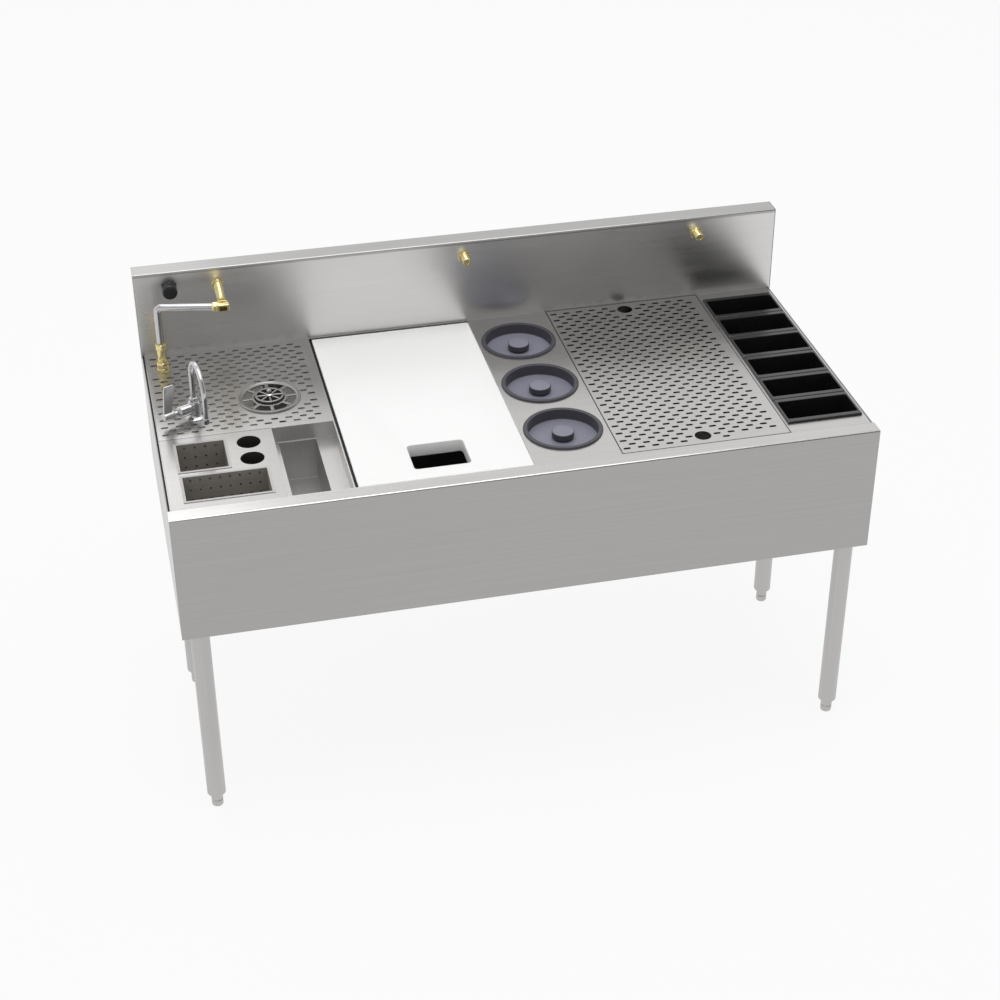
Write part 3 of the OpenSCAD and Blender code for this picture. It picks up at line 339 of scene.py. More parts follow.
@dataclass(frozen=True)
class MouldedPlastic(Finish):
    """Moulded plastic with a fine texture, flow clouds and scuffs."""

    colour: Colour
    roughness: float
    scuff: Colour
    scuffing: float = 0.25
    texture: float = 0.012 * MM
    gloss: float = 0.5
    clouding: float = 0.055

    def wire(self, board: Board) -> None:
        """A pebbled skin, broad clouds and short scuffs.

        Args:
            board: The material's node tree.
        """
        pebble = board.noise((1400, 1400, 1400), detail=2)
        cloud = board.noise((9, 9, 9), detail=3)
        scuffs = board.noise((55, 260, 140), detail=4, rough=0.7).ramp(0.58, 0.76)
        tint = board.mix(
            cloud.ramp(0.3, 0.7),
            shade(self.colour, 1 - self.clouding),
            shade(self.colour, 1 + self.clouding),
        )
        board.surface(
            {
                "Base Color": board.mix(scuffs * self.scuffing, tint, self.scuff),
                "Roughness": (pebble - 0.5) * 0.08
                + (cloud - 0.5) * 0.08
                + scuffs * 0.10
                + self.roughness,
                "Specular IOR Level": self.gloss,
                "Normal": board.bump(pebble * 0.7 + scuffs * 0.3, self.texture),
            }
        )


@dataclass(frozen=True)
class RigidFoam(Finish):
    """Poured insulation with open cells."""

    colour: Colour = (0.80, 0.68, 0.42)

    def wire(self, board: Board) -> None:
        """Cells and darker patches.

        Args:
            board: The material's node tree.
        """
        cells = board.noise((420, 420, 420), detail=4, rough=0.7)
        patch = board.noise((14, 14, 14), detail=3)
        board.surface(
            {
                "Base Color": board.mix(
                    (cells * 0.5 + patch * 0.5).ramp(0.3, 0.7), shade(self.colour, 0.8), self.colour
                ),
                "Roughness": cells * 0.1 + 0.82,
                "Normal": board.bump(cells, 0.4 * MM),
            }
        )


# Painted light and shade: the stainless parts are one steel, and each part's base tone is set to
# how light falls on it, lighter on the splash, back and deck, darker on the apron, sides, legs and
# rails. The apron's rim above WORK_RIM_Z takes a lighter tint as a painted highlight.
APRON_STEEL = RimmedSteel(
    "apron_steel", "panel_steel", (0.40, 0.392, 0.383), streaks=0.05, rim_z=WORK_RIM_Z,
    rim_colour=(0.58, 0.57, 0.56),
)
DECK_STEEL = BrushedSteel("deck_steel", "panel_steel", (0.56, 0.55, 0.54), roughness=0.3)
TOOL_STEEL = BrushedSteel("tool_steel", "panel_steel", (0.50, 0.49, 0.48), roughness=0.3)
DRAIN_STEEL = BrushedSteel("drain_steel", "panel_steel", (0.55, 0.54, 0.53), roughness=0.3)
BACK_STEEL = BrushedSteel("back_steel", "panel_steel", (0.60, 0.59, 0.58), roughness=0.3)
SIDE_STEEL = BrushedSteel("side_steel", "panel_steel", (0.45, 0.442, 0.435), grain=Grain.Y)
# Painted shade: the right side's rim above WORK_RIM_Z takes a much darker tint of the same steel.
SHADED_RIM_SIDE_STEEL = RimmedSteel(
    "shaded_rim_side_steel", "panel_steel", (0.45, 0.442, 0.435), grain=Grain.Y,
    rim_z=WORK_RIM_Z, rim_colour=(0.20, 0.195, 0.19),
)
# Painted light and shade: the splash face is painted lighter than the deck, and its top return
# above RETURN_Z darker.
SPLASH_STEEL = RimmedSteel(
    "splash_steel", "panel_steel", (0.68, 0.67, 0.66), roughness=0.3, streaks=0.04,
    rim_z=RETURN_Z, rim_colour=(0.44, 0.435, 0.43),
)
LEG_STEEL = BrushedSteel("leg_steel", "leg_steel", (0.49, 0.48, 0.47), Grain.Z, 0.3)
RAIL_STEEL = BrushedSteel("rail_steel", "leg_steel", (0.42, 0.41, 0.40), Grain.Y, 0.34)
# Painted shade: the pans under the slotted drain panel are painted near black for the shade below
# it.
SHADED_DRAIN_PAN_STEEL = BrushedSteel("shaded_drain_pan_steel", "pan_steel", (0.12, 0.116, 0.11), roughness=0.4)
PAN_STEEL = BrushedSteel("pan_steel", "pan_steel", (0.42, 0.41, 0.40), roughness=0.4)
# Painted light: the pan under the faucet panel is painted pale and only partly metal, so that it
# shows light grey through the slots where little light reaches it.
LIT_FAUCET_PAN_STEEL = BrushedSteel(
    "lit_faucet_pan_steel", "pan_steel", (0.80, 0.78, 0.75), roughness=0.5, metal=0.3
)
TUB_STEEL = BrushedSteel("tub_steel", "pan_steel", (0.60, 0.59, 0.58), Grain.Z, 0.4)
# Painted shade: the utensil tubes and the baskets sit below the panels and are painted darker and
# warmer than them for the shade inside; the baskets' rims above 0.79 keep a tone near the deck's.
TUBE_STEEL = BrushedSteel("tube_steel", "basket_steel", (0.28, 0.265, 0.245), roughness=0.42)
BASKET_STEEL = RimmedSteel(
    "basket_steel", "basket_steel", (0.42, 0.395, 0.365), roughness=0.5, streaks=0.12,
    metal=0.5, rim_colour=(0.50, 0.49, 0.48),
)
CHROME = PolishedMetal("chrome", "chrome", (0.54, 0.54, 0.55), 0.14, (0.50, 0.49, 0.48))
SATIN_CHROME = PolishedMetal(
    "satin_chrome", "chrome", (0.56, 0.56, 0.56), 0.34, (0.46, 0.455, 0.45)
)
RINSER_STEEL = PolishedMetal("rinser_steel", "chrome", (0.37, 0.36, 0.35), 0.36, (0.30, 0.29, 0.28))
BRASS = PolishedMetal("brass", "brass", (0.78, 0.68, 0.36), 0.26, (0.56, 0.46, 0.20), 0.12)
# Painted shade: a near-black brass for the inside of the elbow's front recess.
RECESS_SHADE_BRASS = PolishedMetal("recess_shade_brass", "brass", (0.16, 0.13, 0.06), 0.4, (0.10, 0.08, 0.04))
LID_PLASTIC = MouldedPlastic(
    "lid_plastic", "white_lid", (0.95, 0.95, 0.945), 0.42, (0.91, 0.91, 0.905), 0.10, clouding=0.006
)
DISH_PLASTIC = MouldedPlastic(
    "dish_plastic", "grey_crock", (0.225, 0.225, 0.285), 0.42, (0.26, 0.26, 0.31)
)
CROCK_PLASTIC = MouldedPlastic(
    "crock_plastic", "grey_crock", (0.055, 0.054, 0.066), 0.42, (0.08, 0.08, 0.09)
)
BIN_PLASTIC = MouldedPlastic(
    "bin_plastic", "black_bin", (0.006, 0.006, 0.006), 0.28, (0.02, 0.02, 0.02), gloss=0.9
)
PLUG_PLASTIC = MouldedPlastic(
    "plug_plastic", "black_plug", (0.009, 0.009, 0.009), 0.34, (0.03, 0.03, 0.03)
)
EDGE_AND_SHADE_BLACK = MouldedPlastic(
    "edge_and_shade_black", "black_plug", (0.012, 0.012, 0.012), 0.6, (0.03, 0.03, 0.03), gloss=0.2
)
FOAM = RigidFoam("insulation_foam", "foam")


# Shaping


@dataclass(frozen=True)
class Extent:
    """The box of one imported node, at rest."""

    low: Vector
    high: Vector

    @classmethod
    def of(cls, node: str) -> Extent:
        """The box of the node with this name."""
        return cls(*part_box(node))

    @property
    def middle(self) -> Vector:
        """The middle of the box."""
        return (self.low + self.high) / 2

    @property
    def axis(self) -> Vector:
        """The point on the floor below the middle."""
        return Vector((self.middle.x, self.middle.y, 0))

    @property
    def size(self) -> Vector:
        """The box's three lengths."""
        return self.high - self.low


def mm(*lengths: float) -> list[float]:
    """Lengths in millimetres, as metres."""
    return [length * MM for length in lengths]


def above(height: float) -> Vector:
    """The step straight up by a height."""
    return Vector((0, 0, height))


def around(reach: float, angle: float, height: float = 0) -> Vector:
    """A point at a distance and an angle about the upright axis, and at a height."""
    return Vector((reach * math.cos(angle), reach * math.sin(angle), height))


def turns(steps: int) -> list[float]:
    """The angles that go once around in equal steps."""
    return [math.tau * i / steps for i in range(steps)]


def rounded(points: Outline, radii: float | Sequence[float], steps: int = 5) -> Outline:
    """Rounds the corners of a closed outline.

    Args:
        points: The outline's corners, in order.
        radii: One radius for all corners, or one for each.
        steps: Steps in each rounded corner.

    Returns:
        The rounded outline, with steps + 1 points for each corner.
    """
    count = len(points)
    each = [radii] * count if isinstance(radii, (int, float)) else list(radii)
    made: Outline = []
    for i, (corner, radius) in enumerate(zip(points, each)):
        here = Vector(corner)
        back = (Vector(points[i - 1]) - here).normalized()
        ahead = (Vector(points[(i + 1) % count]) - here).normalized()
        half = back.angle(ahead) / 2
        if radius <= 0 or abs(math.sin(half)) > 0.9999:
            made.extend([tuple(here)] * (1 if radius <= 0 else steps + 1))
            continue
        cut = radius / math.tan(half)
        centre = here + (back + ahead).normalized() * (radius / math.sin(half))
        start = here + back * cut - centre
        turn = start.angle_signed(here + ahead * cut - centre)
        for k in range(steps + 1):
            arm = start.copy()
            arm.rotate(Matrix.Rotation(-turn * k / steps, 2))
            made.append(tuple(centre + arm))
    return made


def profile(points: Outline, radii: float | Sequence[float], steps: int = 4) -> Outline:
    """Rounds the inner corners of an open profile, and keeps its two ends."""
    each = [radii] * (len(points) - 2) if isinstance(radii, (int, float)) else radii
    return rounded(points, [0.0, *each, 0.0], steps)


def round_box(width: float, depth: float, radius: float, steps: int = 5) -> Outline:
    """A rectangle around the origin, width along X, with rounded corners."""
    w, d = width / 2, depth / 2
    return rounded([(-w, -d), (w, -d), (w, d), (-w, d)], max(radius, 0.01 * MM), steps)


def laid(middle: Vector, outline: Outline, z: float) -> Loop:
    """An outline laid level around a middle, at a height."""
    return [Vector((middle.x + x, middle.y + y, z)) for x, y in outline]


def under_pan(base: float) -> float:
    """The height over base at which pipes and shanks step in below the faucet pan."""
    return Extent.of("faucet_pan").low.z - NUT_DROP - base


class Blank:
    """A mesh in the making, put together from loops of points."""

    def __init__(self) -> None:
        """Starts with no faces."""
        self.mesh = bmesh.new()

    def loft(self, loops: Sequence[Loop], closed: bool = False) -> None:
        """Joins loops of points in order.

        Args:
            loops: Loops with the same number of points. A loop of one point is a tip.
            closed: Joins the last loop to the first. Else a face closes each end.
        """
        rings = [[self.mesh.verts.new(p) for p in loop] for loop in loops]
        pairs = list(zip(rings, rings[1:]))
        if closed:
            pairs.append((rings[-1], rings[0]))
        for first, second in pairs:
            count = max(len(first), len(second))
            for i in range(count):
                j = (i + 1) % count
                if len(first) == 1:
                    self.mesh.faces.new((first[0], second[i], second[j]))
                elif len(second) == 1:
                    self.mesh.faces.new((first[i], first[j], second[0]))
                else:
                    self.mesh.faces.new((first[i], first[j], second[j], second[i]))
        for ring in () if closed else (rings[0], rings[-1]):
            if len(ring) > 2:
                self.mesh.faces.new(ring)

    def turn(
        self, outline: Outline, at: Vector, axis: Vector = UP, steps: int = 64, closed: bool = False
    ) -> None:
        """Turns a profile about an axis.

        Args:
            outline: Points as radius and height along the axis.
            at: Where height 0 is.
            axis: The axis.
            steps: Steps around.
            closed: The profile is a closed outline off the axis.
        """
        spin = axis.to_track_quat("Z", "Y").to_matrix()
        loops = []
        for radius, height in outline:
            if radius < TIP:
                loops.append([at + spin @ above(height)])
            else:
                loops.append([at + spin @ around(radius, a, height) for a in turns(steps)])
        self.loft(loops, closed)

    def pull(
        self, outline: Outline, at: Vector, layers: Sequence[tuple[float, float]],
        right: Vector, up: Vector,
    ) -> None:
        """Stacks copies of an outline, each shrunk a little, along the third axis.

        Args:
            outline: The outline around the origin.
            at: Where height 0 is.
            layers: Height and scale of each copy.
            right: Where the outline's first axis points.
            up: Where its second axis points.
        """
        ahead = right.cross(up)
        loops = []
        for h, s in layers:
            loops.append([at + right * (x * s) + up * (y * s) + ahead * h for x, y in outline])
        self.loft(loops)

    def slab(self, low: Vector, high: Vector, edge: float) -> None:
        """A block between two corners, with its edges taken off.

        Args:
            low: The lower corner.
            high: The upper corner.
            edge: How far the edges are taken off.
        """
        size, middle = high - low, (low + high) / 2
        loops = []
        for inset, z in ((edge, low.z), (0, low.z + edge), (0, high.z - edge), (edge, high.z)):
            outline = round_box(size.x - 2 * inset, size.y - 2 * inset, edge, 2)
            loops.append(laid(middle, outline, z))
        self.loft(loops)

    def hexagon(
        self, at: Vector, axis: Vector, flats: float, height: float, bore: float = 0
    ) -> None:
        """A nut with chamfered corners.

        Args:
            at: The middle of its first face.
            axis: Its axis.
            flats: Its width across the flats.
            height: Its thickness.
            bore: Radius of the hole, or 0 for none.
        """
        spin = axis.to_track_quat("Z", "Y").to_matrix()
        sixth = math.pi / 6
        corner, inner, chamfer = flats / 2 / math.cos(sixth), flats / 2 * 0.97, flats * 0.055
        angles = turns(36)

        def rim(limit: float, z: float) -> Loop:
            """One loop of the nut, no further out than limit."""
            loop = []
            for angle in angles:
                flat = flats / 2 / math.cos((angle + sixth) % (math.pi / 3) - sixth)
                loop.append(at + spin @ around(min(flat, limit), angle, z))
            return loop

        loops = [rim(inner, 0), rim(corner, chamfer)]
        loops += [rim(corner, height - chamfer), rim(inner, height)]
        if bore:
            loops += [[at + spin @ around(bore, a, z) for a in angles] for z in (height, 0)]
        self.loft(loops, closed=bool(bore))

    def sweep(self, path: Loop, radii: Sequence[float], steps: int = 28) -> None:
        """A round bar along a path.

        Args:
            path: The points that it follows.
            radii: Its radius at each point.
            steps: Steps around.
        """
        loops = []
        side = None
        for i, point in enumerate(path):
            ahead = (path[min(i + 1, len(path) - 1)] - path[max(i - 1, 0)]).normalized()
            if side is None:
                side = ahead.orthogonal().normalized()
            side = (side - ahead * side.dot(ahead)).normalized()
            over, r, angles = ahead.cross(side), radii[i], turns(steps)
            loops.append(
                [point + side * (r * math.cos(a)) + over * (r * math.sin(a)) for a in angles]
            )
        self.loft(loops)

    def piece(
        self, name: str, finish: Finish, body: str, stands_for: Sequence[str] = (),
        patch: tuple[Finish, Callable[[Vector], bool]] | None = None,
    ) -> None:
        """Ends the work and makes the piece.

        Args:
            name: The piece's name.
            finish: Its finish.
            body: The body that it rides on.
            stands_for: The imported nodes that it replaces.
            patch: A second finish, and which face middles have it.
        """
        bmesh.ops.remove_doubles(self.mesh, verts=self.mesh.verts, dist=MERGE)
        bmesh.ops.recalc_face_normals(self.mesh, faces=self.mesh.faces)
        for edge in self.mesh.edges:
            flat = edge.calc_face_angle(0) < SHARP
            edge.smooth = len(edge.link_faces) == 2 and flat
        for face in self.mesh.faces:
            face.smooth = True
            face.material_index = int(bool(patch) and patch[1](face.calc_center_median()))
        data = bpy.data.meshes.new(name)
        self.mesh.to_mesh(data)
        self.mesh.free()
        for each in (finish, patch[0]) if patch else (finish,):
            data.materials.append(each.material())
        made = bpy.data.objects.new(name, data)
        bpy.context.scene.collection.objects.link(made)
        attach(made, body)
        if stands_for:
            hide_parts(*stands_for)
        log.info("%s: %d faces on %s", name, len(data.polygons), body)


@dataclass
class Dresser:
    """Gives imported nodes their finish, and softens their cut edges."""

    nodes: dict[str, bpy.types.Object]

    def dress(self, node: str, finish: Finish, edge: float = 0.0) -> None:
        """Gives one node its finish.

        Args:
            node: The node's name.
            finish: The finish.
            edge: How far its sharp edges are rounded, or 0.
        """
        piece = self.nodes[node]
        piece.data.materials.clear()
        piece.data.materials.append(finish.material())
        if edge:
            weld = piece.modifiers.new("weld", "WELD")
            weld.merge_threshold = 0.001 * MM
            bevel = piece.modifiers.new("edge", "BEVEL")
            bevel.width = edge
            bevel.segments = 2
            bevel.limit_method = "ANGLE"
            bevel.angle_limit = BEVELLED
        log.info("%s: %s", node, finish.name)


# Sub-assemblies


@dataclass
class SteelBody:
    """Apron, sides, splash, back, panels and pans: folded sheet, as packed."""

    edge: float = 0.35 * MM

    def build(self, dresser: Dresser) -> None:
        """Dresses the sheet metal.

        Args:
            dresser: Gives the nodes their finish.
        """
        for finish, nodes in (
            (APRON_STEEL, ("front_apron",)),
            (SIDE_STEEL, ("side_panel_left",)),
            (SHADED_RIM_SIDE_STEEL, ("side_panel_right",)),
            (SPLASH_STEEL, ("backsplash",)),
            (BACK_STEEL, ("back_panel",)),
            (TOOL_STEEL, ("tool_panel",)),
            (DECK_STEEL, ("crock_panel", "well_frame")),
            (TUB_STEEL, ("dump_sink", "ice_bin_liner")),
            (PAN_STEEL, ("bin_shell",)),
            (SHADED_DRAIN_PAN_STEEL, ("drainboard_pan", "catch_pan")),
            (LIT_FAUCET_PAN_STEEL, ("faucet_pan",)),
            (RAIL_STEEL, ("leg_rail_left", "leg_rail_right")),
        ):
            for node in nodes:
                dresser.dress(node, finish, self.edge)
        dresser.dress("faucet_panel", DECK_STEEL)
        dresser.dress("drain_panel", DRAIN_STEEL)
        for node in ("sink_drain", "bin_drain", "pan_drains", "fasteners"):
            dresser.dress(node, RINSER_STEEL)
        dresser.dress("bin_insulation", FOAM)
        dresser.dress("utensil_tubes", TUBE_STEEL)
        dresser.dress("basket_short", BASKET_STEEL)
        dresser.dress("basket_long", BASKET_STEEL)


@dataclass
class Legs:
    """Leg tubes and their turned feet."""

    corners: tuple[str, ...] = ("front_left", "front_right", "rear_left", "rear_right")
    stem: float = 13.0 * MM
    sole_edge: float = 4.5 * MM
    groove: float = 1.0 * MM
    groove_at: float = 0.45

    def build(self, dresser: Dresser) -> None:
        """Dresses the legs and turns the feet.

        Args:
            dresser: Gives the nodes their finish.
        """
        for corner in self.corners:
            dresser.dress("leg_" + corner, LEG_STEEL, 0.4 * MM)
            self.foot(corner)

    def foot(self, corner: str) -> None:
        """Turns one foot: a sole with a rounded edge, a groove for the spanner and a shank.

        Args:
            corner: Which leg it is under.
        """
        whole = Extent.of("foot_" + corner)
        shank, top = whole.size.x / 2, whole.high.z
        shoulder = Extent.of("leg_" + corner).low.z
        stem, g, cut = self.stem, self.groove, shoulder * self.groove_at
        points = [
            (0, 0), (stem, 0), (stem, cut), (stem - g, cut + g), (stem - g, cut + 3 * g),
            (stem, cut + 4 * g), (stem, shoulder - 2 * g), (stem + g, shoulder),
            (shank, shoulder), (shank, top), (0, top),
        ]
        radii = [self.sole_edge, *mm(0.3, 0.3, 0.3, 0.3, 0.5, 0.2, 0, 0.5)]
        blank = Blank()
        blank.turn(profile(points, radii), whole.axis, steps=48)
        blank.piece("turned_foot_" + corner, LEG_STEEL, "foot_" + corner, ["foot_" + corner])


@dataclass
class IceBinLid:
    """The white lid, with rounded edges and a hand hole with a rolled edge."""

    edge: float = 1.6 * MM
    corner: float = 3.0 * MM
    hole: tuple[float, float] = (122 * MM, 97 * MM)
    hole_front: float = 40 * MM
    hole_corner: float = 9 * MM

    def build(self) -> None:
        """Makes the lid as one closed loop of sections around its hole."""
        whole = Extent.of("ice_bin_lid")
        mid, size = whole.middle, whole.size
        steps = 8
        hole_mid = Vector((mid.x, whole.low.y + self.hole_front + self.hole[1] / 2, 0))

        def outer(inset: float, z: float) -> Loop:
            """A loop of the lid's outside."""
            wide, deep = size.x - 2 * inset, size.y - 2 * inset
            return laid(mid, round_box(wide, deep, self.corner, steps), z)

        def inner(outset: float, z: float) -> Loop:
            """A loop of the hand hole."""
            wide, deep = self.hole[0] + 2 * outset, self.hole[1] + 2 * outset
            return laid(hole_mid, round_box(wide, deep, self.hole_corner, steps), z)

        e, lo, hi = self.edge, whole.low.z, whole.high.z
        quarter = [math.pi / 6 * i for i in range(4)]
        arc = [(e * (1 - math.sin(t)), e * (1 - math.cos(t))) for t in quarter]
        loops = [outer(a, lo + b) for a, b in arc]
        loops += [outer(a, hi - b) for a, b in reversed(arc)]
        loops += [inner(a, hi - b) for a, b in arc]
        loops += [inner(a, lo + b) for a, b in reversed(arc)]
        blank = Blank()
        blank.loft(loops, closed=True)
        blank.piece("lid_board", LID_PLASTIC, "ice_bin_lid", ["ice_bin_lid"])


@dataclass
class EdgeAndShadeStrips:
    """Black strips along the left edge and behind the tool panel, and black strips in the gaps
    around the lid as painted shade.
    """

    wall: float = 1.5 * MM
    play: float = 0.3 * MM
    sunk: float = 3.0 * MM
    seam: float = 1.2 * MM
    proud: tuple[float, float] = (0.15 * MM, 0.12 * MM)
    edge_x: tuple[float, float] = (2.2 * MM, 6.2 * MM)

    def build(self) -> None:
        """Makes the strips as one piece."""
        side, panel = Extent.of("side_panel_left"), Extent.of("faucet_panel")
        tools, liner = Extent.of("tool_panel"), Extent.of("ice_bin_liner")
        lid = Extent.of("ice_bin_lid")
        deck, sunk = panel.high.z, panel.high.z - self.sunk
        start, end = side.low.x + self.edge_x[0], side.low.x + self.edge_x[1]
        left, right = liner.low.x + self.wall, liner.high.x - self.wall
        front, back = liner.low.y + self.wall, liner.high.y - self.wall
        seam = tools.high.y - self.seam
        blank = Blank()
        for low, high, edge in (
            ((start, tools.low.y, sunk), (end, panel.high.y, deck + self.proud[0]), 0.1),
            ((tools.low.x, seam, sunk), (tools.high.x, tools.high.y, deck + self.proud[1]), 0.1),
            # Painted shade: these two strips fill the gaps left of and behind the lid with black.
            ((left, front, lid.low.z), (lid.low.x - self.play, back, sunk), 0.4),
            ((left, lid.high.y + self.play, lid.low.z), (right, back, sunk), 0.4),
        ):
            blank.slab(Vector(low), Vector(high), edge * MM)
        blank.piece("edge_and_shade_strips", EDGE_AND_SHADE_BLACK, "stand")


@dataclass
class Crocks:
    """Round crocks and their dished lids."""

    wall: float = 2 * MM
    rim: float = 5 * MM
    draft: float = 3 * MM
    knob: float = 24.5 * MM
    knob_top: float = 17 * MM
    seat: float = 0.05 * MM
    play: float = 1 * MM

    def build(self) -> None:
        """Turns the crocks and their lids."""
        for place in ("front", "middle", "rear"):
            self.crock(place)
            self.lid(place)

    def crock(self, place: str) -> None:
        """Turns one crock.

        Args:
            place: Which crock.
        """
        whole = Extent.of("crock_" + place)
        r, low, top, w = whole.size.x / 2, whole.low.z, whole.high.z, self.wall
        body, draft = r - self.rim, self.draft
        points = [
            (0, low), (body - draft, low), (body, top - w - 10 * MM), (body, top - w),
            (r, top - w), (r, top), (body - w, top), (body - w - draft, low + w), (0, low + w),
        ]
        blank = Blank()
        blank.turn(profile(points, mm(9, 2, 0.3, 0.5, 0.9, 0.8, 8), 6), whole.axis, steps=96)
        blank.piece("turned_crock_" + place, CROCK_PLASTIC, "crock_" + place, ["crock_" + place])

    def lid(self, place: str) -> None:
        """Turns one lid: a flange, a dish and a knob with a waist.

        Args:
            place: Which lid.
        """
        node = "crock_lid_" + place
        whole, knob = Extent.of(node), self.knob
        low, high, w, r = whole.low.z, whole.high.z, self.wall, whole.size.x / 2
        dish_r = Extent.of("crock_" + place).size.x / 2 - self.rim - w - self.play
        floor, under = low + w, high - w + self.seat
        points = [
            (0, low), (dish_r, low), (dish_r, under), (r, under), (r, high), (dish_r - w, high),
            (dish_r - w, floor), (knob * 0.84, floor), (knob * 0.82, floor + 2 * MM),
            (knob, floor + 4 * MM), (knob, floor + self.knob_top), (0, floor + self.knob_top),
        ]
        radii = mm(4, 0.5, 0.6, 0.9, 1.2, 3, 1.2, 1, 1, 1.4)
        blank = Blank()
        blank.turn(profile(points, radii, 5), whole.axis, steps=96)

        def shade_and_rim_faces(spot: Vector) -> bool:
            """Whether a face takes the crock's dark plastic: painted shade on the dish's wall and
            the knob's side, and the crock rim's own colour on the flange.
            """
            far = math.hypot(spot.x - whole.middle.x, spot.y - whole.middle.y)
            return far > dish_r - w - 1.5 * MM or knob * 0.8 < far < knob * 1.02

        patch = (CROCK_PLASTIC, shade_and_rim_faces)
        blank.piece("turned_lid_" + place, DISH_PLASTIC, node, [node], patch=patch)


@dataclass
class BottleWells:
    """Six black bins with tapered walls, rounded corners and a bevelled rim."""

    count: int = 6
    wall: float = 2.5 * MM
    rim_high: float = 5 * MM
    bevel: float = 2.2 * MM
    rim_wide: float = 5.5 * MM
    gap_in: float = 12.95 * MM
    corner: float = 4 * MM
    rim_corner: float = 2.2 * MM
    taper: float = 2.0 * MM

    def build(self) -> None:
        """Makes the bins."""
        for number in range(1, self.count + 1):
            self.bin(f"bottle_bin_{number}")

    def bin(self, node: str) -> None:
        """Makes one bin.

        Args:
            node: The bin's node.
        """
        whole = Extent.of(node)
        size = whole.size
        open_w, open_d = size.x - 2 * self.rim_wide, size.y - 2 * self.gap_in
        w, t, c = self.wall, self.taper, self.corner
        lo, hi = whole.low.z, whole.high.z
        deck = hi - self.rim_high

        def ring(width: float, depth: float, corner: float, z: float) -> Loop:
            """One loop of the bin."""
            return laid(whole.middle, round_box(width, depth, corner, 6), z)

        b = self.bevel
        out_w, out_d = open_w + 2 * w, open_d + 2 * w
        foot_w, foot_d = open_w - 2 * t, open_d - 2 * t
        # From the foot up the outside, over the rim and down the inside to the floor
        loops = [
            ring(foot_w - 14 * MM, foot_d - 14 * MM, c, lo),
            ring(out_w - 2 * t - 5 * MM, out_d - 2 * t - 5 * MM, c + w, lo + 1 * MM),
            ring(out_w - 2 * t, out_d - 2 * t, c + w, lo + 6 * MM),
            ring(out_w, out_d, c + w, deck - 6 * MM),
            ring(out_w, out_d, c + w, deck),
            ring(size.x, size.y, self.rim_corner, deck),
            ring(size.x, size.y, self.rim_corner, hi - b),
            ring(size.x - 0.5 * b, size.y - 0.6 * b, self.rim_corner, hi - 0.4 * b),
            ring(size.x - 1.4 * b, size.y - 1.7 * b, 2.4 * MM, hi),
            ring(open_w + 1.4 * MM, open_d + 1.4 * MM, c + 0.6 * MM, hi),
            ring(open_w + 0.4 * MM, open_d + 0.4 * MM, c, hi - 0.5 * MM),
            ring(open_w, open_d, c, hi - 1.6 * MM),
            ring(foot_w, foot_d, c, lo + w + 6 * MM),
            ring(foot_w - 4 * MM, foot_d - 4 * MM, c, lo + w + 1.5 * MM),
            ring(foot_w - 12 * MM, foot_d - 12 * MM, c * 0.6, lo + w),
        ]
        blank = Blank()
        blank.loft(loops)
        blank.piece("moulded_" + node, BIN_PLASTIC, node, [node])


